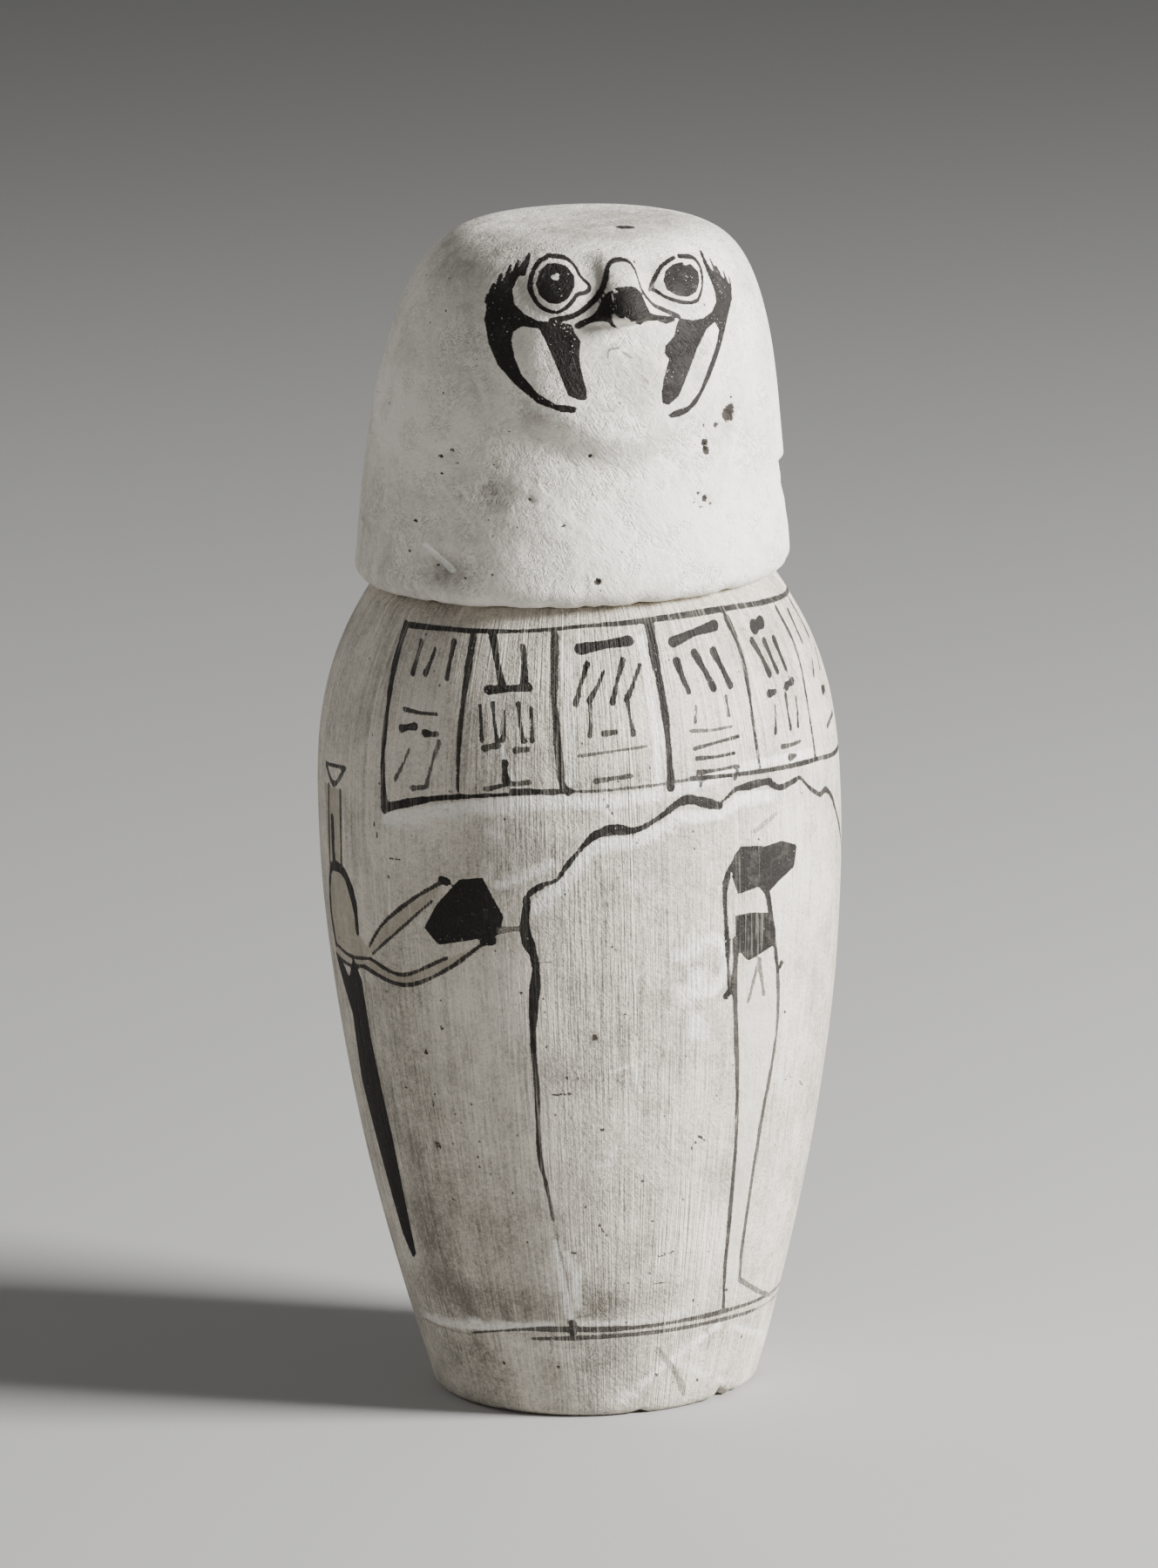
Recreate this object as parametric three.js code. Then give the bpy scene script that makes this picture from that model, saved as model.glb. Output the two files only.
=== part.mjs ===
// A limestone canopic jar with a falcon-headed lid, in millimetres, +Z up.
// The origin is the centre of the jar's underside. The falcon looks along -Y, and +X is on the
// right of someone who faces it. The jar is hollow. The lid lies loose on its rim, and a short
// boss under the lid drops into the mouth and keeps it centred.
import * as THREE from "three";

// Jar, outside
const jarHeight = 235.7;
const bellyRadius = 74.6;
const bellyHeight = 165;
const footRadius = 46.3;
const footEdgeRadius = 3.5;
const rimRadius = 56;
const rimEdgeRadius = 2;
const footFallPower = 1.8; // how late the sides turn in towards the foot
const shoulderFallPower = 2.9; // how late the shoulder turns in towards the rim

// Jar, inside
const mouthRadius = 38.5;
const mouthDepth = 16;
const wallThickness = 18;
const floorThickness = 24;
const floorRadius = 27;
const floorCorner = 3;
const wallFoot = 12; // the wall leaves the floor's corner this far above the floor
const mouthChamfer = 1;
const shoulderWallHeight = 196; // up to here the inside runs parallel to the outside

// Lid
const lidGap = 0.3;
const lidBottom = jarHeight + lidGap;
const lidTop = 337.4;
const lidRadius = 61.7;
const lidEdgeRadius = 5;
const domeBottom = lidBottom + lidEdgeRadius / 2;
const lidCrownSharpness = 5.75; // how flat the crown is and how tight its edge
const lidLean = 4.4; // the crown stands this far to +X of the jar's axis
const lidLeanPower = 2.58; // how late the lean sets in towards the crown
const backFullness = 1; // the sides slope like a headcloth at the back
const faceFullness = 5.4; // added at the front, where the face is steep
const faceFullnessPower = 4; // how narrow the steep part is
const bossRadius = 35;
const bossDepth = 12;
const bossTaper = 1.5;

// Face, as distances across from its middle line and heights above the foot
const eyeAcross = 17.5;
const eyeHeight = 326.3;
const eyeRadius = 8.4;
const eyeSwell = 2.3;
const socketDepth = 1.4;
const beakTop = 333;
const beakTip = 318.5;
const beakReach = 8.5;
const beakTopHalfWidth = 4.8;
const beakHalfWidth = 9;
const throatHeight = 306;
const throatHalfWidth = 39;
const throatHalfHeight = 31;
const throatSwell = 3.4;
const browHeight = 335.5;
const browSwell = 2.6;

// Chips
const flakeAngle = 72; // the flake lost from the lid's side, in degrees from the face
const flakeTop = 268.5;
const flakeBottom = 241;
const flakeDepth = 1.9;

const flakeHalfAngle = 18;
const flakeEdge = 1.5;

// Fineness
const jarSides = 56;
const jarRows = 18;
const jarFirstRow = 9;
const jarLastRow = 231;
const lidSides = 70;
const lidFaceCrowding = 0.7; // how much closer together the sides are across the face
const capHeight = 333; // above this the rings of the lid shrink towards the crown
const capShares = [0.965, 0.91, 0.83, 0.7, 0.5, 0.25];

// 0 below the first value and 1 above the second, with a soft step between
function softStep(from, to, value) {
  const t = Math.min(Math.max((value - from) / (to - from), 0), 1);
  return t * t * (3 - 2 * t);
}

// 1 at the middle of a round patch, and 0 at its edge and beyond
function softPatch(across, up, halfWidth, halfHeight) {
  return 1 - softStep(0, 1, Math.hypot(across / halfWidth, up / halfHeight));
}

// Points on a rounded corner, from one direction to another in degrees, about a centre
function cornerArc(x, y, radius, fromDegrees, toDegrees, steps) {
  return Array.from({ length: steps + 1 }, (_, i) => {
    const angle = THREE.MathUtils.degToRad(
      THREE.MathUtils.lerp(fromDegrees, toDegrees, i / steps),
    );
    return new THREE.Vector2(
      x + radius * Math.cos(angle),
      y + radius * Math.sin(angle),
    );
  });
}

// The jar's outer radius at a height: a full belly that falls away to foot and rim
function jarRadius(height) {
  const below = height < bellyHeight;
  const fall = below ? bellyRadius - footRadius : bellyRadius - rimRadius;
  const span = below ? bellyHeight : jarHeight - bellyHeight;
  const share = Math.abs(height - bellyHeight) / span;
  const power = below ? footFallPower : shoulderFallPower;
  return bellyRadius - fall * share ** power;
}

// Evenly spaced heights with both ends
function heights(from, to, steps) {
  return Array.from({ length: steps + 1 }, (_, i) =>
    THREE.MathUtils.lerp(from, to, i / steps),
  );
}

function jarOutside() {
  const footCorner = cornerArc(
    jarRadius(footEdgeRadius) - footEdgeRadius,
    footEdgeRadius,
    footEdgeRadius,
    -90,
    -15,
    3,
  );
  const wall = heights(jarFirstRow, jarLastRow, jarRows).map(
    (height) => new THREE.Vector2(jarRadius(height), height),
  );
  const rimCorner = cornerArc(
    rimRadius - rimEdgeRadius,
    jarHeight - rimEdgeRadius,
    rimEdgeRadius,
    35,
    90,
    2,
  );
  return [new THREE.Vector2(0, 0), ...footCorner, ...wall, ...rimCorner];
}

// From the mouth down to the floor: a straight neck, then a wall of even thickness
function jarInside() {
  const neck = [
    new THREE.Vector2(mouthRadius + mouthChamfer, jarHeight),
    new THREE.Vector2(mouthRadius, jarHeight - mouthChamfer),
    new THREE.Vector2(mouthRadius, jarHeight - mouthDepth),
  ];
  const widest = jarRadius(shoulderWallHeight) - wallThickness;
  const underShoulder = [0.35, 0.7].map(
    (share) =>
      new THREE.Vector2(
        THREE.MathUtils.lerp(
          mouthRadius,
          widest,
          Math.sin((share * Math.PI) / 2),
        ),
        THREE.MathUtils.lerp(
          jarHeight - mouthDepth,
          shoulderWallHeight,
          share,
        ),
      ),
  );
  const wallEnd = floorThickness + wallFoot;
  const wall = heights(shoulderWallHeight, wallEnd, 7).map(
    (height) => new THREE.Vector2(jarRadius(height) - wallThickness, height),
  );
  const floor = [
    new THREE.Vector2(floorRadius + floorCorner, floorThickness + floorCorner),
    new THREE.Vector2(floorRadius, floorThickness),
    new THREE.Vector2(0, floorThickness),
  ];
  return [...neck, ...underShoulder, ...wall, ...floor];
}

function makeJar(material) {
  const outline = [...jarOutside(), ...jarInside()];
  const geometry = new THREE.LatheGeometry(outline, jarSides);
  geometry.rotateX(Math.PI / 2);
  const jar = new THREE.Mesh(geometry, material);
  jar.name = "jar";
  return jar;
}

// How square the dome is in a direction: steep at the face, sloping like a headcloth behind
function domeFullness(angle) {
  const facing = (1 + Math.cos(angle)) / 2;
  return backFullness + faceFullness * facing ** faceFullnessPower;
}

// The lid's share of its full height, from 0 at its edge to 1 at the crown
function lidShare(height) {
  return Math.max((height - domeBottom) / (lidTop - domeBottom), 0);
}

function domeRadius(angle, height) {
  const full = 1 - lidShare(height) ** domeFullness(angle);
  return lidRadius * full ** (1 / lidCrownSharpness);
}

// The height at which the dome has a given radius, for the rings over the crown
function domeHeight(angle, radius) {
  const share =
    (1 - (radius / lidRadius) ** lidCrownSharpness) **
    (1 / domeFullness(angle));
  return domeBottom + share * (lidTop - domeBottom);
}

function beakRelief(across, height) {
  const down = (beakTop - height) / (beakTop - beakTip);
  const widening = Math.min(Math.max(down, 0), 1);
  const halfWidth = THREE.MathUtils.lerp(beakTopHalfWidth, beakHalfWidth, widening);
  const ridge = Math.max(1 - (Math.abs(across) / halfWidth) ** 2.2, 0);
  const reach = softStep(-0.1, 0.25, down) * (0.3 + 0.7 * down);
  const underTip = 1 - softStep(1, 1.3, down);
  return beakReach * reach * ridge * underTip;
}

function eyeRelief(across, height) {
  const aside = Math.abs(across) - eyeAcross;
  const up = height - eyeHeight;
  const socket = softPatch(aside, up, eyeRadius * 1.9, eyeRadius * 1.6);
  const ball = Math.hypot(aside, up) / eyeRadius;
  return eyeSwell * Math.max(1 - ball * ball, 0) - socketDepth * socket;
}

function throatRelief(across, height) {
  const reach = Math.hypot(
    across / throatHalfWidth,
    (height - throatHeight) / throatHalfHeight,
  );
  return throatSwell * (1 - softStep(0.7, 1.04, reach));
}

function browRelief(across, height) {
  return browSwell * softPatch(across, height - browHeight, 38, 6);
}

// How far the face stands out towards -Y from the plain dome
function faceRelief(across, height) {
  return (
    throatRelief(across, height) +
    browRelief(across, height) +
    eyeRelief(across, height) +
    beakRelief(across, height)
  );
}

// The shallow scar on the lid's side, sharp at its upper edge and fading downwards
function flakeLoss(angle, height) {
  const aside = THREE.MathUtils.radToDeg(angle) - flakeAngle;
  const middle = flakeHalfAngle * 0.67;
  const wide = 1 - softStep(middle, flakeHalfAngle * 1.33, Math.abs(aside));
  const below = softStep(0, flakeEdge, flakeTop - height);
  const above = softStep(0, flakeTop - flakeBottom, height - flakeBottom);
  return flakeDepth * wide * below * above;
}

// A point of the lid's skin, for a direction from the face and a radius and height of the dome
function lidPoint(angle, radius, height) {
  const scarred = radius - flakeLoss(angle, height);
  const lean = lidLean * lidShare(height) ** lidLeanPower;
  const across = scarred * Math.sin(angle) + lean;
  const facing = softStep(0, 0.5, Math.cos(angle));
  const forward =
    scarred * Math.cos(angle) + facing * faceRelief(across, height);
  return [across, -forward, height];
}

// Rings of the lid from the boss's underside up to the crown, each a function of direction
function lidRings() {
  const flat = (radius, height) => (angle) => lidPoint(angle, radius, height);
  const rings = [
    flat(bossRadius - bossTaper, lidBottom - bossDepth),
    flat(bossRadius, lidBottom - bossTaper),
    flat(bossRadius, lidBottom),
  ];
  const corner = cornerArc(
    lidRadius - lidEdgeRadius,
    lidBottom + lidEdgeRadius,
    lidEdgeRadius,
    -90,
    -10,
    3,
  );
  corner.forEach(({ x, y }) => rings.push(flat(x, y)));
  const wall = [
    ...heights(247, 274, 3),
    ...heights(278, 288, 4),
    ...heights(293, 308, 3),
    ...heights(311, capHeight, 11),
  ];
  wall.forEach((height) =>
    rings.push((angle) => lidPoint(angle, domeRadius(angle, height), height)),
  );
  capShares.forEach((share) =>
    rings.push((angle) => {
      const radius = domeRadius(angle, capHeight) * share;
      return lidPoint(angle, radius, domeHeight(angle, radius));
    }),
  );
  return rings;
}

// The directions of the rings' points, closest together across the face
function lidAngles() {
  return Array.from({ length: lidSides }, (_, i) => {
    const turn = (2 * Math.PI * i) / lidSides - Math.PI;
    return turn - lidFaceCrowding * Math.sin(turn);
  });
}

function makeLid(material) {
  const angles = lidAngles();
  const rings = lidRings().map((ring) => angles.map(ring));
  const points = rings.flat();
  const under = points.push([0, 0, lidBottom - bossDepth]) - 1;
  const crown = points.push([lidLean, 0, lidTop]) - 1;
  const faces = [];
  const lastRing = (rings.length - 1) * lidSides;
  for (let i = 0; i < lidSides; i += 1) {
    const next = (i + 1) % lidSides;
    faces.push(under, next, i, crown, lastRing + i, lastRing + next);
    for (let start = 0; start < lastRing; start += lidSides) {
      const above = start + lidSides;
      faces.push(start + i, start + next, above + next);
      faces.push(start + i, above + next, above + i);
    }
  }
  const geometry = new THREE.BufferGeometry();
  geometry.setAttribute(
    "position",
    new THREE.Float32BufferAttribute(points.flat(), 3),
  );
  geometry.setIndex(faces);
  geometry.computeVertexNormals();
  const lid = new THREE.Mesh(geometry, material);
  lid.name = "falcon_lid";
  return lid;
}

const jarStone = new THREE.MeshStandardMaterial({
  color: 0xcfc6b4,
  roughness: 0.85,
  metalness: 0,
});
const lidStone = new THREE.MeshStandardMaterial({
  color: 0xddd5c4,
  roughness: 0.8,
  metalness: 0,
});

const canopicJar = new THREE.Group();
canopicJar.add(makeJar(jarStone), makeLid(lidStone));

export default canopicJar;
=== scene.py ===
import math

import bpy
import numpy as np
from mathutils import Matrix, Vector


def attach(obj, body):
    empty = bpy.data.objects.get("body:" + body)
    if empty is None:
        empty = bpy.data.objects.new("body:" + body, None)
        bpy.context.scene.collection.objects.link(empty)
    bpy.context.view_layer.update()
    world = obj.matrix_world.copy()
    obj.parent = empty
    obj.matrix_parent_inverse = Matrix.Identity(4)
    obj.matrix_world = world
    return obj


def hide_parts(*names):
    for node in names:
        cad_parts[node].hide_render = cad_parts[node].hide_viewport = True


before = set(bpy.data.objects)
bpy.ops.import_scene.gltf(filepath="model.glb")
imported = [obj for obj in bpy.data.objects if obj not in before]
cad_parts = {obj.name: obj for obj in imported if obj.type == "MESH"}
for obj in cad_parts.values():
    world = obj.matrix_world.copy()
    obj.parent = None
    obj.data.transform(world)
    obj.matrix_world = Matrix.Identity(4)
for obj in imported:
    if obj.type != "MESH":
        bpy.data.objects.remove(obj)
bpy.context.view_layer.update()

# Painted limestone jar with a loose falcon-headed lid. Sizes are in mm and degrees, and
# degrees go round the jar from its front (-Y) towards its right (+X).

mm = 0.001
bpy.ops.object.select_all(action="DESELECT")


# Small helpers

def softStep(start, end, value):
    share = np.clip((value - start) / (end - start), 0, 1)
    return share * share * (3 - 2 * share)


def softPatch(across, up, halfWidth, halfHeight):
    return 1 - softStep(0, 1, np.hypot(across / halfWidth, up / halfHeight))


def degreesFrom(turn, deg):
    return (np.degrees(turn) - deg + 180) % 360 - 180


def cornerArc(across, up, radius, fromDeg, toDeg, steps):
    turns = np.radians(np.linspace(fromDeg, toDeg, steps + 1))
    return [(across + radius * math.cos(t), up + radius * math.sin(t)) for t in turns]


def readPoints(piece):
    flat = np.empty(len(piece.data.vertices) * 3)
    piece.data.vertices.foreach_get("co", flat)
    return flat.reshape(-1, 3) / mm


def writePoints(piece, points):
    piece.data.vertices.foreach_set("co", (points * mm).ravel())
    piece.data.update()


# Turning and refining a stone blank

def turnBlank(name, profile, startDeg, arcs):
    bpy.ops.object.select_all(action="DESELECT")
    bpy.ops.mesh.primitive_plane_add(size=2 * mm)
    blank = bpy.context.object
    blank.name = name
    blank.data.name = name
    side = (math.sin(math.radians(startDeg)), -math.cos(math.radians(startDeg)))
    places = [Vector((r * side[0], r * side[1], z)) * mm for r, z in profile]
    bpy.context.tool_settings.mesh_select_mode = (True, False, False)
    bpy.ops.object.mode_set(mode="EDIT")
    bpy.ops.mesh.select_all(action="SELECT")
    bpy.ops.mesh.merge(type="CENTER")
    bpy.ops.transform.translate(value=places[0])
    for last, place in zip(places, places[1:]):
        bpy.ops.mesh.extrude_vertices_move(TRANSFORM_OT_translate={"value": place - last})
    bpy.ops.mesh.select_all(action="SELECT")
    for turn, steps in arcs:
        bpy.ops.mesh.spin(steps=steps, angle=math.radians(turn), center=(0, 0, 0), axis=(0, 0, 1))
    bpy.ops.mesh.select_all(action="SELECT")
    bpy.ops.mesh.remove_doubles(threshold=0.02 * mm)
    bpy.ops.mesh.normals_make_consistent(inside=False)
    bpy.ops.object.mode_set(mode="OBJECT")
    return blank


def selectOnly(piece):
    bpy.ops.object.select_all(action="DESELECT")
    piece.select_set(True)
    bpy.context.view_layer.objects.active = piece


def refineNear(piece, distances, reach):
    # cuts the faces in four that lie within reach of a painted edge or a pit
    mesh = piece.data
    corners = np.empty(len(mesh.loops), dtype=np.int64)
    mesh.loops.foreach_get("vertex_index", corners)
    starts = np.empty(len(mesh.polygons), dtype=np.int64)
    mesh.polygons.foreach_get("loop_start", starts)
    nearest = np.minimum.reduceat(distances[corners], starts)
    selectOnly(piece)
    bpy.context.tool_settings.mesh_select_mode = (False, False, True)
    bpy.ops.object.mode_set(mode="EDIT")
    bpy.ops.mesh.select_all(action="DESELECT")
    bpy.ops.object.mode_set(mode="OBJECT")
    mesh.polygons.foreach_set("select", nearest < reach)
    bpy.ops.object.mode_set(mode="EDIT")
    bpy.ops.mesh.subdivide(number_cuts=1, ngon=False)
    bpy.ops.mesh.select_all(action="DESELECT")
    bpy.ops.object.mode_set(mode="OBJECT")


# Paint, kept as distances in mm from the edges of strokes and filled shapes

farFromPaint = 3.0     # past this a point is bare stone
nothingNear = 99.0     # for points that have no paint edge about them
offPiece = 999         # across, for points that take no paint
strokeMargin = 7
fillMargin = 4
bodyReach = 2.5        # a stroke's thickness is kept this far past its edge
tiny = 1e-9


class PaintLayer:
    def __init__(self, across, up):
        self.across = across
        self.up = up
        self.edge = np.full(len(across), farFromPaint)     # below 0 is inside the paint
        self.body = np.full(len(across), 0.9)              # how thick the paint lies
        self.nearest = np.full(len(across), nothingNear)   # mm to the nearest painted edge
        self.fineCells = 0.05                              # makes up for thin strokes on the mesh

    def around(self, points, margin):
        low, high = points.min(0) - margin, points.max(0) + margin
        inside = (self.across > low[0]) & (self.across < high[0])
        inside &= (self.up > low[1]) & (self.up < high[1])
        return np.nonzero(inside)[0]

    def add(self, where, edge, nearest, body):
        wins = edge < self.edge[where]
        self.edge[where] = np.where(wins, edge, self.edge[where])
        self.body[where] = np.where(wins & (edge < bodyReach), body, self.body[where])
        self.nearest[where] = np.minimum(self.nearest[where], np.abs(nearest))

    def stroke(self, points, halfWidths, body):
        where = self.around(points, strokeMargin)
        if not len(where):
            return
        px, pz = self.across[where], self.up[where]
        best = np.full(len(where), nothingNear)
        near = np.full(len(where), nothingNear)
        for i in range(len(points) - 1):
            ax, az = points[i]
            bx, bz = points[i + 1] - points[i]
            along = np.clip(((px - ax) * bx + (pz - az) * bz) / (bx * bx + bz * bz + tiny), 0, 1)
            gap = (px - ax - along * bx) ** 2 + (pz - az - along * bz) ** 2
            width = halfWidths[i] + along * (halfWidths[i + 1] - halfWidths[i])
            best = np.minimum(best, (gap - width * width - self.fineCells) / (2 * width))
            near = np.minimum(near, np.sqrt(gap) - width)
        self.add(where, np.minimum(best, farFromPaint), near, body)

    def fill(self, points, body):
        where = self.around(points, fillMargin)
        if not len(where):
            return
        px, pz = self.across[where], self.up[where]
        near = np.full(len(where), nothingNear)
        inside = np.zeros(len(where), dtype=bool)
        for (ax, az), (cx, cz) in zip(points, np.roll(points, -1, 0)):
            bx, bz = cx - ax, cz - az
            along = np.clip(((px - ax) * bx + (pz - az) * bz) / (bx * bx + bz * bz + tiny), 0, 1)
            near = np.minimum(near, np.hypot(px - ax - along * bx, pz - az - along * bz))
            crosses = (az > pz) != (cz > pz)
            inside ^= crosses & (px < ax + (pz - az) / (bz if bz else tiny) * bx)
        edge = np.where(inside, -near, near)
        self.add(where, np.clip(edge, -farFromPaint, farFromPaint), near, body)


def smoothPath(points, perSpan=5):
    # a curve through given points
    points = np.array(points, dtype=float)
    if len(points) < 3:
        return points
    ends = np.vstack([2 * points[0] - points[1], points, 2 * points[-1] - points[-2]])
    out = []
    for a, b, c, d in zip(ends, ends[1:], ends[2:], ends[3:]):
        for t in np.arange(perSpan) / perSpan:
            out.append(0.5 * (2 * b + (c - a) * t + (2 * a - 5 * b + 4 * c - d) * t * t
                              + (3 * b - 3 * c + d - a) * t ** 3))
    out.append(points[-1])
    return np.array(out)


def brushWidths(widths, count):
    # half widths along a stroke from its few given widths, a little uneven
    widths = np.atleast_1d(widths)
    steps = np.linspace(0, 1, count)
    even = np.interp(steps, np.linspace(0, 1, len(widths)), widths)
    return even * (1 + 0.10 * np.sin(steps * 17 + widths[0] * 40) + 0.07 * np.sin(steps * 41))


def bandCover(layer, bands, placed):
    # how strongly pale bands cover each point, from their half widths, strengths and places
    cover = np.zeros(len(layer.across))
    for halfWidth, strength, places in bands:
        path = placed(smoothPath(places))
        band = PaintLayer(layer.across, layer.up)
        band.stroke(path, np.full(len(path), halfWidth), 1)
        cover = np.maximum(cover, strength * softStep(0.4, -0.3, band.edge))
    return cover


def writeAttribute(piece, name, values):
    layer = piece.data.attributes.new(name, "FLOAT", "POINT")
    layer.data.foreach_set("value", values.astype(np.float32))


# Jar

jarForm = {
    "height": 235.7,
    "bellyRadius": 74.6,
    "bellyHeight": 165,
    "footRadius": 46.3,
    "footEdge": 3.5,
    "rimRadius": 56,
    "rimEdge": 2,
    "footFall": 1.8,
    "shoulderFall": 2.9,
    "mouthRadius": 38.5,
    "mouthDepth": 16,
    "wall": 18,
    "floor": 24,
    "floorRadius": 27,
    "floorCorner": 3,
    "wallFoot": 12,
    "mouthChamfer": 1,
    "shoulderWall": 196,
    "undersideRings": (0, 14, 28, 37, 40.5),
    "wallStart": 4.6,
    "wallEndDrop": 3.2,
    "rowStep": 2.1,
    "insideRows": 16,
    "frontTurn": 204,
    "frontSteps": 122,
    "backSteps": 46,
    "fineReaches": (2.0, 0.95),
    "unevenness": 0.16,
    "paintedSkin": 6,
    "carvedSkin": 7,
    "laneRadius": 65,
    "mmPerDegree": 1.3,
}


def jarRadius(height):
    form = jarForm
    height = np.asarray(height, dtype=float)
    below = height < form["bellyHeight"]
    fall = form["bellyRadius"] - np.where(below, form["footRadius"], form["rimRadius"])
    span = np.where(below, form["bellyHeight"], form["height"] - form["bellyHeight"])
    power = np.where(below, form["footFall"], form["shoulderFall"])
    return form["bellyRadius"] - fall * (np.abs(height - form["bellyHeight"]) / span) ** power


def jarProfile():
    form = jarForm
    edge = form["footEdge"]
    footCentre = float(jarRadius(edge)) - edge
    outside = [(radius, 0) for radius in form["undersideRings"]]
    outside += cornerArc(footCentre, edge, edge, -90, -18, 5)
    rows = int((form["height"] - form["rimEdge"] - form["wallStart"]) / form["rowStep"])
    wallEnd = form["height"] - form["wallEndDrop"]
    outside += [(float(jarRadius(z)), z) for z in np.linspace(form["wallStart"], wallEnd, rows)]
    outside += cornerArc(form["rimRadius"] - form["rimEdge"], form["height"] - form["rimEdge"],
                         form["rimEdge"], 35, 90, 4)
    neckFoot = form["height"] - form["mouthDepth"]
    wallRadius = float(jarRadius(form["shoulderWall"])) - form["wall"]
    inside = [(form["mouthRadius"] + form["mouthChamfer"], form["height"]),
              (form["mouthRadius"], form["height"] - form["mouthChamfer"]),
              (form["mouthRadius"], neckFoot)]
    for share in (0.2, 0.4, 0.6, 0.8):
        turn = math.sin(share * math.pi / 2)
        inside.append((form["mouthRadius"] + (wallRadius - form["mouthRadius"]) * turn,
                       neckFoot + (form["shoulderWall"] - neckFoot) * share))
    inside += [(float(jarRadius(z)) - form["wall"], z)
               for z in np.linspace(form["shoulderWall"], form["floor"] + form["wallFoot"],
                                    form["insideRows"])]
    inside += [(form["floorRadius"] + form["floorCorner"], form["floor"] + form["floorCorner"]),
               (form["floorRadius"], form["floor"]), (0, form["floor"])]
    return outside + inside


# where the foot's edge is chipped: degrees, half width, rise, how far in
footChips = [
    (-8.4, 1.6, 0.7, 0.3),
    (-1.6, 2.6, 1.3, 0.6),
    (24.4, 1.3, 0.5, 0.3),
    (33.4, 3.6, 2.1, 1.3),
    (39.6, 2.4, 1.0, 0.8),
    (69, 8.5, 2.6, 2.2),
    (-52, 1.4, 0.4, 0.3),
    (128, 9, 1.6, 1.2),
    (-147, 6, 1.0, 0.8),
]

# shallow dents and tool slips in the wall: degrees, height, half width, half height, depth
wallDents = [
    (71, 5, 7, 5, 1.4),
    (72.5, 12, 2.2, 2.6, 0.9),
    (57, 13, 2.5, 1.6, 0.35),
    (-45, 232.5, 5, 1.6, 0.4),
    (12, 133, 5, 6, 0.22),
    (-71, 213, 5, 9, 0.3),
    (-58, 105, 6, 10, 0.25),
    (31, 88, 9, 14, 0.25),
    (140, 150, 16, 20, 0.5),
    (-150, 90, 20, 26, 0.5),
    (170, 196, 9, 4, 0.7),
]

# hairline nicks, pale where fresh and dark where old: degrees, height, half length, tilt
freshNicks = [
    (-7.7, 107.4, 3.3, 17), (-4.4, 104.4, 4.2, -80), (-10.6, 81.4, 2.4, 70), (-12.4, 78.6, 2.4, 4),
]
oldNicks = [
    (-21.6, 100.3, 2.8, 3), (-24.9, 139, 2.4, 2), (-9.5, 183, 2.4, -62), (-4.5, 174.5, 2.6, -68),
    (-13, 58.9, 2.2, -60), (4.2, 49.8, 2.4, 12), (10.6, 82.6, 2.0, 60), (12.4, 84, 1.6, -40),
    (3, 41, 1.8, 3), (24, 46, 2.6, -70), (-55, 96, 2, 75), (-60, 165.5, 2.4, 5), (-66, 173, 2.4, -70),
    (40, 96, 1.6, 30), (47, 92, 1.8, -35),
]


def jarUnevenness(turn, height):
    wave = 0.5 * np.sin(3 * turn + height / 31) + 0.3 * np.sin(5 * turn - height / 17 + 1.3)
    wave += 0.2 * np.sin(11 * turn + height / 9 + 0.4)
    return jarForm["unevenness"] * (wave - 1.05)


def carveJar(piece):
    points = readPoints(piece)
    radius = np.hypot(points[:, 0], points[:, 1])
    turn = np.arctan2(points[:, 0], -points[:, 1])
    height = points[:, 2]
    outer = radius > jarRadius(height) - jarForm["carvedSkin"]
    fromRim = jarForm["height"] - height
    wall = outer & (height > 3) & (fromRim > 3.1)
    dents = np.zeros(len(points))
    for deg, z, halfWidth, halfHeight, depth in wallDents:
        aside = np.radians(degreesFrom(turn, deg)) * radius
        ragged = 1 + 0.25 * np.sin(aside * 1.7 + height * 1.1) * np.sin(height * 1.9 - aside)
        dents += depth * softPatch(aside, height - z, halfWidth, halfHeight) * ragged
    fade = softStep(3, 9, height) * softStep(3, 12, fromRim)
    newRadius = np.where(wall, jarRadius(height) + jarUnevenness(turn, height) * fade, radius)
    newRadius = newRadius - np.where(outer & (fromRim > 1), dents, 0)
    newHeight = height.copy()
    for deg, halfWidth, rise, inset in footChips:
        aside = degreesFrom(turn, deg) / halfWidth
        bite = np.clip(1 - np.abs(aside) ** 1.3, 0, 1) * (1 + 0.3 * np.sin(aside * 9 + deg))
        bite = bite * softStep(5.5, 0, height) * softStep(38, 43.5, radius)
        newHeight = newHeight + rise * bite
        newRadius = newRadius - inset * bite
    points[:, 0] = newRadius * np.sin(turn)
    points[:, 1] = -newRadius * np.cos(turn)
    points[:, 2] = newHeight
    writePoints(piece, points)


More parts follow.
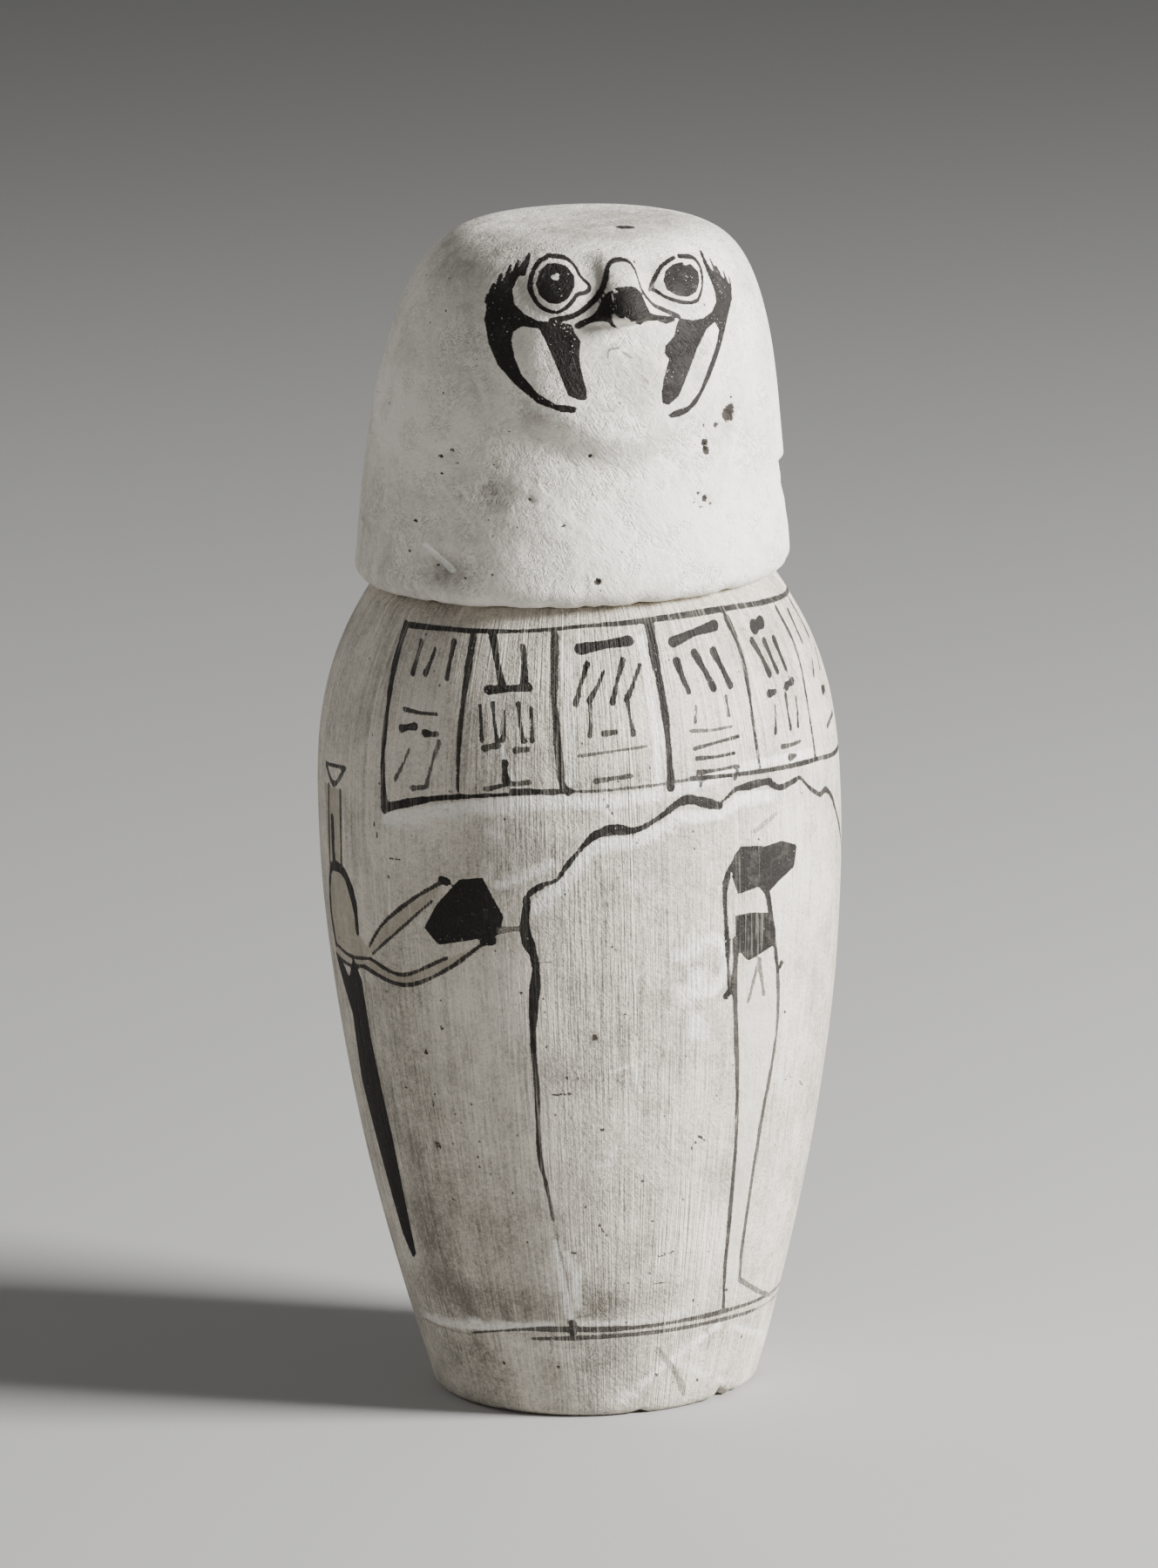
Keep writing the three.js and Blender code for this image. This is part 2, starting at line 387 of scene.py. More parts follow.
# Brush lines: half widths in mm, how black, then degrees and heights
jarLines = [
    ([0.9, 0.6, 0.5, 0.6, 0.7, 0.9, 0.6, 0.55], 0.85, [(-66.5, 229.2), (-54, 229.6), (-43.5, 229.7),
     (-26.2, 230.3), (-13.6, 231.2), (-1, 231.4), (8.1, 231.7), (29, 231.6), (50.2, 230.1),
     (70.7, 228.7), (98, 228)]),
    ([1.2, 1.0, 0.9, 1.0, 1.3], 0.84, [(-66.5, 229.2), (-65.1, 215.8), (-64.1, 204.1), (-63.9, 193.8),
     (-62.9, 179.2)]),
    ([1.5, 1.1, 0.8, 0.6, 0.45], 0.88, [(-63.1, 179.6), (-52, 183.4), (-42.8, 185.4), (-25.2, 187.4)]),
    ([0.9, 0.85, 0.7], 0.88, [(-30.5, 187.7), (-22, 187.5), (-17.2, 187.7)]),
    ([0.4, 0.45, 0.4], 0.7, [(-19, 187.6), (-11.7, 187.5), (0, 188), (9.2, 188.5)]),
    ([0.7, 0.65, 0.75, 0.7, 0.6], 0.85, [(9, 188.7), (25.3, 187.6), (48.5, 185.8), (61.4, 184.1),
     (80, 183.6), (98, 183.9)]),
    ([1.2, 1.0, 0.8, 0.8, 0.55], 0.8, [(-43.1, 228.2), (-42.8, 215), (-42.9, 200), (-42.9, 187.1)]),
    ([1.1, 1.1, 1.2, 1.0, 1.1, 0.8], 0.82, [(-21, 229.2), (-20.6, 208.9), (-19.6, 192), (-19.2, 189),
     (-17.9, 186.9)]),
    ([1.5, 1.4, 1.2, 1.0, 1.2], 0.9, [(4.7, 230.5), (4.2, 222), (4.4, 215.6), (4.6, 200), (4.4, 186.9)]),
    ([1.1, 0.9, 0.8, 0.6, 0.5], 0.85, [(28.9, 229.5), (29.2, 220.4), (27.3, 202), (27.4, 187.6)]),
    ([0.9, 0.8, 0.7, 0.5], 0.85, [(52.6, 227.9), (52.2, 216.5), (48.9, 201.6), (48.5, 185.8)]),
    ([0.8, 0.7, 0.6], 0.85, [(75.5, 227.6), (75, 206), (74.5, 184)]),
    ([0.9, 0.7, 0.8], 0.85, [(98, 228.2), (98.6, 206), (98, 183.6)]),
    # the wavy border, from the right down to the foot
    ([0.8, 0.9, 0.7, 0.5], 0.85, [(59.5, 169.5), (57.5, 172.5), (53.3, 176), (50, 175.4), (47.8, 176.5),
     (44.9, 178.5), (40.8, 182.8)]),
    ([0.6, 0.9, 0.9, 1.0, 0.9], 0.88, [(40.8, 182.8), (37, 182), (33.3, 181.6), (30.3, 183.4)]),
    ([1.0, 1.2, 0.9, 0.6, 0.5], 0.88, [(30.3, 184), (27, 184.3), (22.5, 184), (20.3, 183.9), (18.2, 182.3),
     (15.1, 179.9)]),
    ([1.2, 1.5, 1.3, 0.9], 0.9, [(15.9, 180), (12.8, 181.3), (8.9, 182.9), (6, 182.4), (3.1, 180.1)]),
    ([0.9, 0.7, 0.9, 1.4, 1.6, 1.2, 0.6], 0.9, [(3.1, 180.1), (-1.5, 176.9), (-4.7, 175.8),
     (-8.7, 176.4), (-12.6, 175.1), (-15.5, 171.8)]),
    ([0.7, 0.9, 0.7, 0.6, 0.9, 1.0, 0.8], 0.88, [(-14.8, 172.8), (-18.5, 167.3), (-21.1, 162.8),
     (-23.9, 161.4), (-26.8, 159.1), (-28.2, 156.6)]),
    ([1.0, 1.6, 1.7, 1.3, 1.3, 1.5, 1.2, 0.9], 0.92, [(-27.6, 157), (-28.4, 150.1), (-28, 145.6),
     (-26.8, 141.3), (-26.4, 136.5), (-27, 129.4), (-27.7, 120), (-27.9, 113)]),
    ([0.9, 0.8, 0.9, 0.8, 0.8, 0.6, 0.5], 0.8, [(-27.9, 113.4), (-27.6, 102.7), (-27.9, 92.2),
     (-28.1, 81.7), (-26.9, 72.5), (-25.8, 61.8)]),
    ([0.45, 0.5, 0.3], 0.4, [(-25.8, 61.8), (-24.9, 54), (-23.6, 46), (-22.7, 38.6)]),
    ([0.7, 1.1, 0.8, 1.0], 0.8, [(-23.2, 30.4), (-22.4, 29.6), (-23.2, 28), (-22.6, 26.8)]),
    ([0.6, 0.9, 0.7, 0.8, 0.6, 0.5], 0.8, [(59.5, 169.5), (63.5, 164), (68, 158), (73, 150), (78, 141),
     (80, 120), (79.5, 92), (82, 60), (84, 32)]),
    # ground lines
    ([0.35, 0.4, 0.8, 0.9, 0.5, 0.8, 0.5], 0.72, [(-56.8, 24.2), (-44, 26.6), (-30.6, 28), (-9.6, 27.8),
     (4.9, 28), (25.5, 28.3), (48.6, 27.7)]),
    ([0.45, 0.8, 0.6, 0.7, 0.5], 0.7, [(-35.4, 24.7), (-22, 25.3), (-9.6, 25.6), (8.8, 25.8), (26, 25.8),
     (43.5, 25)]),
    ([0.4, 0.3], 0.3, [(-85, 22.8), (-78.9, 23.4), (-68, 23.2), (-57, 23.6)]),
    ([0.5, 0.6, 0.5, 0.4], 0.55, [(48.6, 27.7), (80, 27), (118, 27.6), (150, 26.8), (185, 27.4),
     (225, 26.6), (262, 27)]),
    ([0.4, 0.5, 0.4], 0.4, [(43.5, 25), (76, 24.5), (120, 24.8), (160, 24)]),
    ([0.5, 0.6], 0.35, [(-28.9, 26.8), (-29.5, 22.5), (-30.1, 20.6)]),
    ([0.5, 0.3], 0.25, [(-29.5, 22.6), (-20.5, 22.2)]),
    ([0.35, 0.5], 0.3, [(-22, 31.6), (-16.5, 32.6)]),
    # dark smear on the foot
    ([0.8, 1.0, 0.8, 1.2, 0.9], 0.42, [(3.5, 20.2), (6.4, 17), (10.4, 12.4), (13.6, 7.6), (15.3, 4.5)]),
    ([0.5, 0.5], 0.3, [(20.6, 24), (22.4, 20.6), (21.8, 17.6)]),
    ([0.7, 0.9, 0.5], 0.45, [(69, 11.5), (71.5, 13.5), (74, 14)]),
    ([0.35, 0.3], 0.4, [(47.5, 20), (49, 17.5), (47.6, 14.8)]),
    # left figure: tall headdress, head, arms, waist and the line of the back
    ([0.6, 0.6], 0.8, [(-90, 186.5), (-78, 188)]),
    ([0.8, 0.9, 0.7], 0.8, [(-90, 186.5), (-84, 182), (-78, 188)]),
    ([0.8, 0.8], 0.76, [(-87.5, 181), (-88.5, 158)]),
    ([0.7, 0.7], 0.76, [(-80.5, 181), (-81, 159)]),
    ([1.4, 1.8, 1.5], 0.86, [(-85.4, 172), (-85.4, 159)]),
    ([1.0, 1.3, 1.6, 1.5, 0.9], 0.9, [(-90, 152), (-87, 157.5), (-80, 157.5), (-76, 150), (-75.5, 141)]),
    ([1.0, 1.3, 1.1], 0.82, [(-90, 152), (-91.5, 143), (-90, 134)]),
    ([0.5, 0.6, 0.5], 0.8, [(-89, 134), (-80, 133), (-71, 134.5)]),
    ([0.5, 0.6, 0.6], 0.8, [(-91, 131), (-82, 130), (-74, 131.5)]),
    ([0.6, 0.7, 0.6], 0.8, [(-71, 138), (-65, 146), (-55, 155), (-47, 161)]),
    ([0.55, 0.6, 0.5], 0.76, [(-70, 136), (-60, 145), (-50, 155)]),
    ([0.6, 0.6, 0.6], 0.8, [(-71, 134.5), (-60, 132), (-47, 139)]),
    ([0.65, 0.65, 0.7], 0.8, [(-74, 131.5), (-60, 129), (-48, 135), (-38, 144)]),
    ([1.0, 1.2], 0.92, [(-47.5, 161.5), (-46, 161)]),
    ([1.2, 1.4], 0.94, [(-38, 144.5), (-36, 145)]),
    ([1.0, 0.8, 0.5], 0.55, [(-34, 148), (-29, 149)]),
    ([0.4, 0.5, 0.4, 0.3], 0.55, [(-94.5, 131), (-98, 100), (-94, 52)]),
    # right figure: back, front, the long robe and its foot
    ([1.0, 1.0, 0.8, 0.7], 0.88, [(20, 165), (16.8, 158), (17, 143), (18, 128)]),
    ([1.1, 0.9, 0.75], 0.88, [(28.5, 152.5), (30.5, 141), (32.6, 128)]),
    ([1.0, 0.85, 0.75, 0.65], 0.8, [(19.3, 141), (20, 120), (22.5, 87), (24, 45), (26, 29.5)]),
    ([0.8, 0.75, 0.65], 0.72, [(32.6, 128), (33.5, 110), (30.3, 75), (29.8, 50), (31, 37)]),
    ([0.8, 0.8, 0.6], 0.6, [(31, 37), (42, 31), (52.5, 27)]),
    ([1.1, 0.9], 0.92, [(17.2, 125), (19, 128)]),
    ([0.8, 0.7], 0.88, [(33.8, 131), (33, 129.5)]),
    ([0.7, 0.6], 0.62, [(26.3, 134), (23.5, 122)]),
    ([0.7, 0.6], 0.62, [(26.3, 134), (28.2, 123)]),
    ([0.8, 1.0, 0.8], 0.42, [(25, 171), (31.5, 174.5)]),
]

# filled shapes: how black, then their corners
jarFills = [
    # the block that the left figure holds up, and its dress
    (0.95, [(-52.5, 147), (-49, 154), (-43, 162), (-37.5, 163), (-33, 152), (-34.5, 146.5), (-49, 142.5)]),
    (0.95, [(-91, 130), (-84, 115), (-85.5, 95), (-81, 50), (-78, 43), (-75.5, 45), (-73.5, 80),
     (-75.5, 110), (-76, 127), (-79, 133), (-83, 126), (-87, 131)]),
    # the right figure's wig, head and collar
    (0.89, [(19, 165), (21, 167.5), (27, 166.5), (26.5, 155), (20, 154), (18.5, 159)]),
    (0.93, [(27, 166), (33, 166.5), (38.5, 164), (37.5, 158), (32, 155), (28, 152), (25, 156)]),
    (0.88, [(19.2, 148), (24, 148), (29.8, 146.5), (31, 137), (23, 134), (19.5, 139)]),
]

# thin smooth washes inside the figures: 0 grey to 1 pale, strength, then corners
jarWashes = [
    (0.0, 0.8, [(-90.5, 181), (-80, 181), (-80.5, 159), (-89, 158)]),
    (0.0, 0.8, [(-90, 152), (-87, 157.5), (-80, 157.5), (-76, 150), (-75.5, 141), (-71, 137), (-74, 131),
     (-91, 131), (-91.5, 143)]),
    (0.0, 0.75, [(-71, 138), (-65, 146), (-55, 155), (-47, 161), (-50, 155), (-60, 145), (-70, 136)]),
    (0.0, 0.75, [(-71, 134.5), (-60, 132), (-47, 139), (-38, 144), (-48, 135), (-60, 129), (-74, 131.5)]),
    (0.75, 0.75, [(19.5, 133), (20, 120), (22.5, 87), (24, 45), (26, 29.5), (31, 37), (29.8, 50),
     (30.3, 75), (33.5, 110), (32.6, 128), (26.4, 134)]),
    (0.55, 0.4, [(19.6, 153.5), (27.4, 153), (29.4, 147), (20.4, 148.5)]),
]

# Rows of plain strokes stand where the panel is written on, and spell nothing.
# Each column: degrees at its middle, its width, then rows of
# height, kind of stroke, how many, length, half width, how black
panelColumns = [
    (-53.6, 15, [(221.4, "slant", 3, 9.0, 0.75, 0.8), (208, "bar", 1, 13.5, 0.6, 0.76),
                 (202.6, "dab", 2, 4.8, 1.0, 0.8), (193.2, "slant", 2, 12.0, 0.7, 0.68),
                 (186.6, "dab", 1, 3.0, 0.8, 0.7)]),
    (-31.9, 15, [(221.6, "tick", 2, 10.5, 1.1, 0.88), (215.2, "bar", 1, 12.0, 1.1, 0.9),
                 (206, "tick", 5, 9.0, 0.7, 0.82), (199.2, "dab", 2, 3.6, 0.9, 0.74),
                 (193, "tick", 1, 4.6, 1.1, 0.84), (188.6, "bar", 1, 11.5, 0.65, 0.78)]),
    (-8.3, 17, [(226, "bar", 1, 13.5, 1.35, 0.95), (216.2, "slant", 4, 10.5, 0.8, 0.88),
                (207, "tick", 2, 9.0, 0.7, 0.82), (203.4, "dab", 1, 3.4, 0.9, 0.8),
                (198, "bar", 1, 19.0, 0.45, 0.66), (190.6, "bar", 1, 10.0, 0.75, 0.76)]),
    (16.3, 16, [(226.2, "bar", 1, 13.0, 1.25, 0.94), (216.8, "back", 3, 10.0, 1.1, 0.92),
                (206.4, "tick", 2, 4.4, 0.6, 0.76), (202, "bar", 1, 16.0, 0.5, 0.7),
                (197.4, "bar", 1, 14.5, 0.55, 0.82), (194.4, "bar", 1, 14.0, 0.6, 0.84),
                (190.6, "bar", 1, 14.0, 0.6, 0.82), (187.9, "slant", 2, 3.0, 0.6, 0.8)]),
    (39.4, 13, [(225.6, "dab", 1, 3.6, 1.8, 0.95), (217, "back", 3, 9.5, 1.0, 0.92),
                (208.2, "dab", 2, 3.2, 1.1, 0.88), (201, "tick", 3, 8.4, 0.7, 0.86),
                (193, "bar", 1, 10.5, 0.7, 0.78), (189.6, "dab", 1, 3.0, 1.0, 0.8)]),
    (62.6, 14, [(221.6, "back", 2, 10.0, 0.8, 0.82), (210, "slant", 2, 5.0, 0.7, 0.8),
                (203, "dab", 1, 3.2, 1.3, 0.85), (193.2, "bar", 1, 10.0, 0.7, 0.76)]),
    (86.6, 15, [(224.4, "bar", 1, 11.0, 1.1, 0.88), (214.8, "slant", 3, 9.0, 0.8, 0.84),
                (203.6, "bar", 1, 13.0, 0.6, 0.78), (194.2, "tick", 2, 7.0, 0.75, 0.8)]),
]

strokeTilts = {"bar": 4, "tick": 87, "slant": 62, "back": -68, "dab": 8}


# bands rubbed paler, left where lines were moved: half width, strength, then places
paleBands = [
    (2.0, 1.0, [(-62, 176.4), (-42, 182), (-25, 184.4), (-8, 184.4), (1, 185.2)]),
    (1.4, 0.8, [(5, 185.6), (24, 189.6), (47, 188.2)]),
    (1.2, 0.9, [(2, 188), (2.2, 200), (1.8, 214), (1.6, 227)]),
    (1.0, 0.6, [(-17.4, 190), (-17.8, 206), (-18, 226)]),
    (1.9, 0.9, [(-26, 154.6), (-22.6, 158.6), (-19, 162.4), (-15.4, 168.6), (-12, 171.8), (-4, 172.8)]),
    (1.8, 1.0, [(-4, 172.8), (2, 175.6), (6, 178.4), (12, 177.6), (17, 178.2), (22, 180.6), (30, 180)]),
    (1.3, 0.8, [(-34, 161), (-28.4, 163.4), (-22, 167.6)]),
    (1.2, 0.9, [(6.5, 139.4), (4.6, 133), (6.6, 127.4), (9, 121), (10.2, 115)]),
    (1.4, 1.0, [(9.4, 139), (12.4, 142.6), (16, 140.6), (17, 134), (14.4, 127.6), (11, 127), (9, 133.6)]),
    (0.9, 1.0, [(-25.4, 55), (-24.6, 46), (-23.4, 36), (-23, 32)]),
    (0.8, 0.9, [(-22.6, 52), (-21, 44), (-20.6, 35)]),
    (1.4, 0.9, [(-57, 26.8), (-40, 28), (-29, 29)]),
    (1.3, 0.6, [(-80, 25), (-66, 25.6), (-57, 26.4)]),
    (0.8, 0.6, [(-21, 30), (-5, 29.9), (12, 30.4)]),
    (1.0, 1.0, [(25, 24.4), (15, 19.4), (6.4, 14.6), (-2, 8.4), (-8, 5)]),
    (1.0, 0.7, [(31, 22.6), (44, 18), (58, 14)]),
    (0.8, 0.8, [(9, 16), (22, 9.6), (36, 4.6)]),
    (0.7, 0.8, [(-36.5, 215), (-33, 200), (-29.6, 189)]),
    (0.6, 0.7, [(-30.4, 185), (-34, 176)]),
    (1.6, 0.7, [(-3, 160.6), (-1.6, 157)]),
    (1.3, 0.7, [(-10, 182.4), (-8.4, 180)]),
]

# tone, partly stains and patina and partly painted light and shade where the wall is lit or shaded (a darker
# left side, lighter patches): degrees, height, half width, half height, lighter above 0 and darker below
jarTonesAndPaintedLight = [
    (-62, 35, 34, 12, -0.85), (-40, 35, 26, 12, -0.8), (-66, 52, 16, 18, -0.8),
    (-14, 35.5, 15, 10, -1.0), (3, 37, 12, 9, -0.8),
    (-44, 58, 30, 16, -0.15), (16, 52, 18, 13, 0.75), (-6, 60, 10, 8, 0.4), (-66, 96, 24, 74, -0.5),
    (46, 60, 24, 34, 0.4), (-50, 172, 22, 12, -0.05), (38, 140, 30, 60, 0.45), (-10, 100, 30, 40, -0.1),
    (-14, 17, 14, 7, -0.3), (22, 12, 16, 9, 0.35), (60, 14, 18, 10, 0.35), (-54, 14, 24, 12, -0.6),
    (-9, 158, 6, 9, -0.35), (28, 170, 20, 8, 0.2), (7, 185.8, 2.6, 1.8, -0.9), (44, 40, 9, 8, -0.5),
    (-71, 214, 7, 15, -0.2), (-66, 226, 14, 8, 0.3), (26.5, 52, 5, 9, -0.35), (27, 41, 5, 6, 0.3),
    (150, 60, 50, 34, -0.4), (175, 150, 60, 50, -0.12), (-135, 190, 40, 26, -0.3), (-150, 40, 40, 20, -0.5),
    (115, 110, 26, 60, 0.15), (14, 206, 40, 24, 0.35), (-34, 150, 14, 12, 0.15), (-30, 108, 17, 15, -0.2),
    (-14, 104, 12, 10, -0.2), (-60, 130, 16, 16, -0.2), (-25, 128, 10, 18, 0.25), (-62, 180, 12, 6, 0.15),
    (-35, 178, 30, 5, 0.25), (-10, 190, 14, 7, -0.3), (-14, 196, 12, 18, -0.1), (10, 100, 10, 16, 0.25),
    (20, 74, 12, 12, -0.2), (-28, 84, 9, 12, 0.35), (10, 128, 3, 5, 0.3), (55, 200, 20, 30, 0.3),
    (-56, 82, 3, 4, -0.6), (-30, 22, 18, 4, 0.3), (40, 172, 8, 10, 0.2), (2, 146, 5, 6, 0.3),
    (-36, 120, 30, 60, 0.5), (-54, 206, 18, 28, 0.9), (-48, 174, 14, 11, 0.4),
    (-77, 218, 14, 16, 0.55), (-42, 127, 14, 12, 0.3),
]

# dark specks and small stains on the wall: degrees, height, half width, how dark
jarSpecks = [
    (-42, 158.4, 0.6, 0.8), (-62, 160, 0.5, 0.8), (-39, 155, 0.5, 0.7), (-9, 142, 0.5, 0.8),
    (-13.9, 116.9, 1.0, 0.9), (-10.6, 98.4, 0.4, 0.8), (-6.9, 123.1, 0.4, 0.8), (-25.1, 114.3, 0.5, 0.8),
    (-20.4, 105.3, 0.6, 0.8), (-12.6, 89.4, 0.7, 0.8), (-18, 105, 0.5, 0.6), (-55.6, 110, 0.8, 0.75),
    (-56, 82, 1.4, 0.6), (-21, 52, 0.6, 0.8), (12, 108, 0.5, 0.7), (36, 116, 0.6, 0.7), (-64, 98, 0.6, 0.7),
    (2, 92, 0.5, 0.8), (-47, 16, 0.6, 0.8), (20, 8, 0.6, 0.8), (-30, 130, 0.5, 0.7), (41, 178, 0.5, 0.7),
    (57, 220, 0.5, 0.7), (26, 168.6, 0.6, 0.7), (26, 35, 0.7, 0.7), (-44, 96, 0.6, 0.8), (-48, 90, 0.5, 0.8),
    (-36, 70, 0.5, 0.7), (-50, 118, 0.7, 0.7), (-33, 92, 0.5, 0.7), (-3, 73, 0.5, 0.8), (8, 66, 0.5, 0.7),
    (16, 96, 0.5, 0.7), (-17, 66, 0.6, 0.7), (-6, 42, 0.5, 0.7), (14, 34, 0.6, 0.7), (-28, 16, 0.6, 0.7),
    (4, 12, 0.7, 0.7), (38, 18, 0.6, 0.7), (-66, 126, 0.6, 0.7), (-54, 66, 0.6, 0.7), (38, 76, 0.5, 0.7),
]


def alongWall(path):
    return np.column_stack([np.radians(path[:, 0]) * jarRadius(path[:, 1]), path[:, 1]])


def nickBands(nicks, strength):
    bands = []
    halfWidth = 0.26
    for deg, height, halfLength, tilt in nicks:
        turn = math.radians(tilt)
        reach = math.degrees(halfLength * math.cos(turn) / float(jarRadius(height)))
        rise = halfLength * math.sin(turn)
        ends = [(deg - reach, height - rise), (deg, height), (deg + reach, height + rise)]
        bands.append((halfWidth, strength, ends))
    return bands


def paintJar(layer):
    for widths, body, places in jarLines:
        path = alongWall(smoothPath(places))
        layer.stroke(path, brushWidths(widths, len(path)), body)
    for body, places in jarFills:
        layer.fill(alongWall(np.array(places, dtype=float)), body)
    for middle, width, rows in panelColumns:
        for height, kind, count, length, halfWidth, body in rows:
            for i in range(count):
                hand = math.sin(middle * 3.1 + height * 1.7 + i * 2.4)       # no two strokes alike
                deg = middle + width * ((i + 0.5) / count - 0.5) + 0.5 * hand
                tilt = math.radians(strokeTilts[kind] + 6 * hand)
                reach = length * (0.5 + 0.07 * hand) * np.array([math.cos(tilt), math.sin(tilt)])
                centre = alongWall(np.array([[deg, height + 0.5 * hand]]))[0]
                bow = np.array([-reach[1], reach[0]]) * 0.06 * hand
                path = np.array([centre - reach, centre + bow, centre + reach])
                layer.stroke(path, halfWidth * np.array([1.2, 0.8, 1.0 + 0.25 * hand]), body)


def wallPlaces(points):
    turn = np.arctan2(points[:, 0], -points[:, 1])
    # the back is unrolled to the right, so that the ground line runs all the way round
    turn = np.where(turn < -math.radians(100), turn + 2 * math.pi, turn)
    outer = np.hypot(points[:, 0], points[:, 1]) > jarRadius(points[:, 2]) - jarForm["paintedSkin"]
    outer &= points[:, 2] > 0.6
    return turn, outer


def jarPaintLayer(points):
    turn, outer = wallPlaces(points)
    across = np.where(outer, turn * jarRadius(points[:, 2]), offPiece)
    layer = PaintLayer(across, points[:, 2])
    paintJar(layer)
    return layer


# where the paint of the held block is flecked: degrees, height, half width, half height, how far
blockWear = (-43, 144, 12, 4, 0.5)


def finishJarPaint(piece):
    points = readPoints(piece)
    layer = jarPaintLayer(points)
    turn, outer = wallPlaces(points)
    deg = np.degrees(turn)
    writeAttribute(piece, "blackPaint", layer.edge)
    writeAttribute(piece, "paintBody", layer.body)
    place, height, halfWidth, halfHeight, amount = blockWear
    aside = (deg - place) * jarForm["mmPerDegree"]
    wear = amount * softPatch(aside, points[:, 2] - height, halfWidth, halfHeight)
    writeAttribute(piece, "paintWear", wear)

    bands = paleBands + nickBands(freshNicks, 0.9)
    writeAttribute(piece, "paleRub", bandCover(layer, bands, alongWall))

    cover, light = np.zeros(len(points)), np.zeros(len(points))
    for tone, strength, places in jarWashes:
        wash = PaintLayer(layer.across, layer.up)
        wash.fill(alongWall(np.array(places, dtype=float)), 1)
        here = strength * softStep(0.5, -0.3, wash.edge)
        light = np.where(here > cover, tone, light)
        cover = np.maximum(cover, here)
    writeAttribute(piece, "washCover", cover)
    writeAttribute(piece, "washTone", light)

    laneRadius = jarForm["laneRadius"]
    tone = np.zeros(len(points))
    for place, height, halfWidth, halfHeight, amount in jarTonesAndPaintedLight:
        aside = np.radians(degreesFrom(turn, place)) * laneRadius
        tone += amount * softPatch(aside, points[:, 2] - height, halfWidth, halfHeight)
    # the band below the ground line is a little darker at its upper edge
    tone -= 0.18 * softStep(31, 27, points[:, 2]) * softStep(14, 24, points[:, 2])
    # stains and painted light and shade from the tone table; inside and underneath, the tone is set darker, a
    # painted shade in the hollow and under the foot
    writeAttribute(piece, "toneAndPaintedLight", np.where(outer, tone, -0.3))

    specks = bandCover(layer, nickBands(oldNicks, 0.6), alongWall)
    for place, height, halfWidth, amount in jarSpecks:
        aside = np.radians(degreesFrom(turn, place)) * jarRadius(points[:, 2])
        specks = np.maximum(specks, amount * softPatch(aside, points[:, 2] - height,
                                                       halfWidth * 2, halfWidth * 2))
    writeAttribute(piece, "darkSpeck", np.where(outer, specks, 0))

    # a straight-sided copy of each place, so that rasp marks run down the wall
    flow = piece.data.attributes.new("raspFlow", "FLOAT_VECTOR", "POINT")
    lanes = np.column_stack([laneRadius * np.sin(turn), -laneRadius * np.cos(turn), points[:, 2]]) * mm
    flow.data.foreach_set("vector", lanes.astype(np.float32).ravel())


def makeJar():
    form = jarForm
    backTurn = 360 - form["frontTurn"]
    jar = turnBlank("painted_jar", jarProfile(), -form["frontTurn"] / 2,
                    [(form["frontTurn"], form["frontSteps"]), (backTurn, form["backSteps"])])
    for reach in form["fineReaches"]:
        points = readPoints(jar)
        layer = jarPaintLayer(points)
        near = layer.nearest
        nicks = PaintLayer(layer.across, layer.up)
        for halfWidth, strength, places in nickBands(oldNicks + freshNicks, 1):
            nicks.stroke(alongWall(np.array(places)), np.full(len(places), halfWidth), 1)
        near = np.minimum(near, nicks.nearest)
        turn, outer = wallPlaces(points)
        for deg, height, halfWidth, amount in jarSpecks:
            aside = np.radians(np.degrees(turn) - deg) * jarRadius(points[:, 2])
            gap = np.hypot(aside, points[:, 2] - height) - halfWidth
            near = np.minimum(near, np.where(outer, np.abs(gap), nothingNear))
        refineNear(jar, near, reach)
    finishJarPaint(jar)
    carveJar(jar)
    print("jar:", len(jar.data.vertices), "points")
    return jar


# Falcon lid

lidForm = {
    "bottom": 236,
    "top": 337.4,
    "radius": 61.7,
    "edge": 5,
    "domeBottom": 238.5,
    "crownSharpness": 5.75,
    "lean": 4.4,
    "leanPower": 2.58,
    "backFullness": 1,
    "faceFullness": 5.4,
    "facePower": 4,
    "bossRadius": 35,
    "bossDepth": 12,
    "bossTaper": 1.5,
    "capHeight": 333,
    "eyeAcross": 17.5,
    "eyeHeight": 326.3,
    "eyeRadius": 8.4,
    "eyeSwell": 2.5,
    "socketDepth": 1.5,
    "beakTop": 333,
    "beakTip": 318.5,
    "beakReach": 8.5,
    "beakTopHalfWidth": 4.8,
    "beakHalfWidth": 9,
    "throatHeight": 306,
    "throatHalfWidth": 36,
    "throatHalfHeight": 31,
    "throatSwell": 4.3,
    "browHeight": 335.5,
    "browSwell": 2.6,
    "hollowPlace": (8.6, 331.2),
    "hollowHalves": (6.4, 5.4),
    "hollowDepth": 1.5,
    "gapePlace": (9.5, 315.6),
    "gapeHalves": (6, 1.7),
    "gapeDepth": 0.5,
    "flakeAngle": 72,
    "flakeTop": 268.5,
    "flakeBottom": 241,
    "flakeDepth": 1.9,
    "flakeHalfAngle": 18,
    "flakeEdge": 1.5,
    "scratchPlace": (9.8, -28.4),
    "scratchAbove": 334,
    "scratchReach": 5.6,
    "undersideRings": (42, 49, 53),
    "wallRows": (242.6, 284, 26),
    "faceRows": (285, 50),
    "frontTurn": 100,
    "frontSteps": 110,
    "backSteps": 104,
    "fineReaches": (0.95, 0.42),
}


def domeFullness(turn):
    facing = ((1 + np.cos(turn)) / 2) ** lidForm["facePower"]
    return lidForm["backFullness"] + lidForm["faceFullness"] * facing


def domeShare(height):
    return np.clip((height - lidForm["domeBottom"]) / (lidForm["top"] - lidForm["domeBottom"]), 0, 1)


def domeRadius(turn, height):
    left = np.clip(1 - domeShare(height) ** domeFullness(turn), 0, 1)
    return lidForm["radius"] * left ** (1 / lidForm["crownSharpness"])


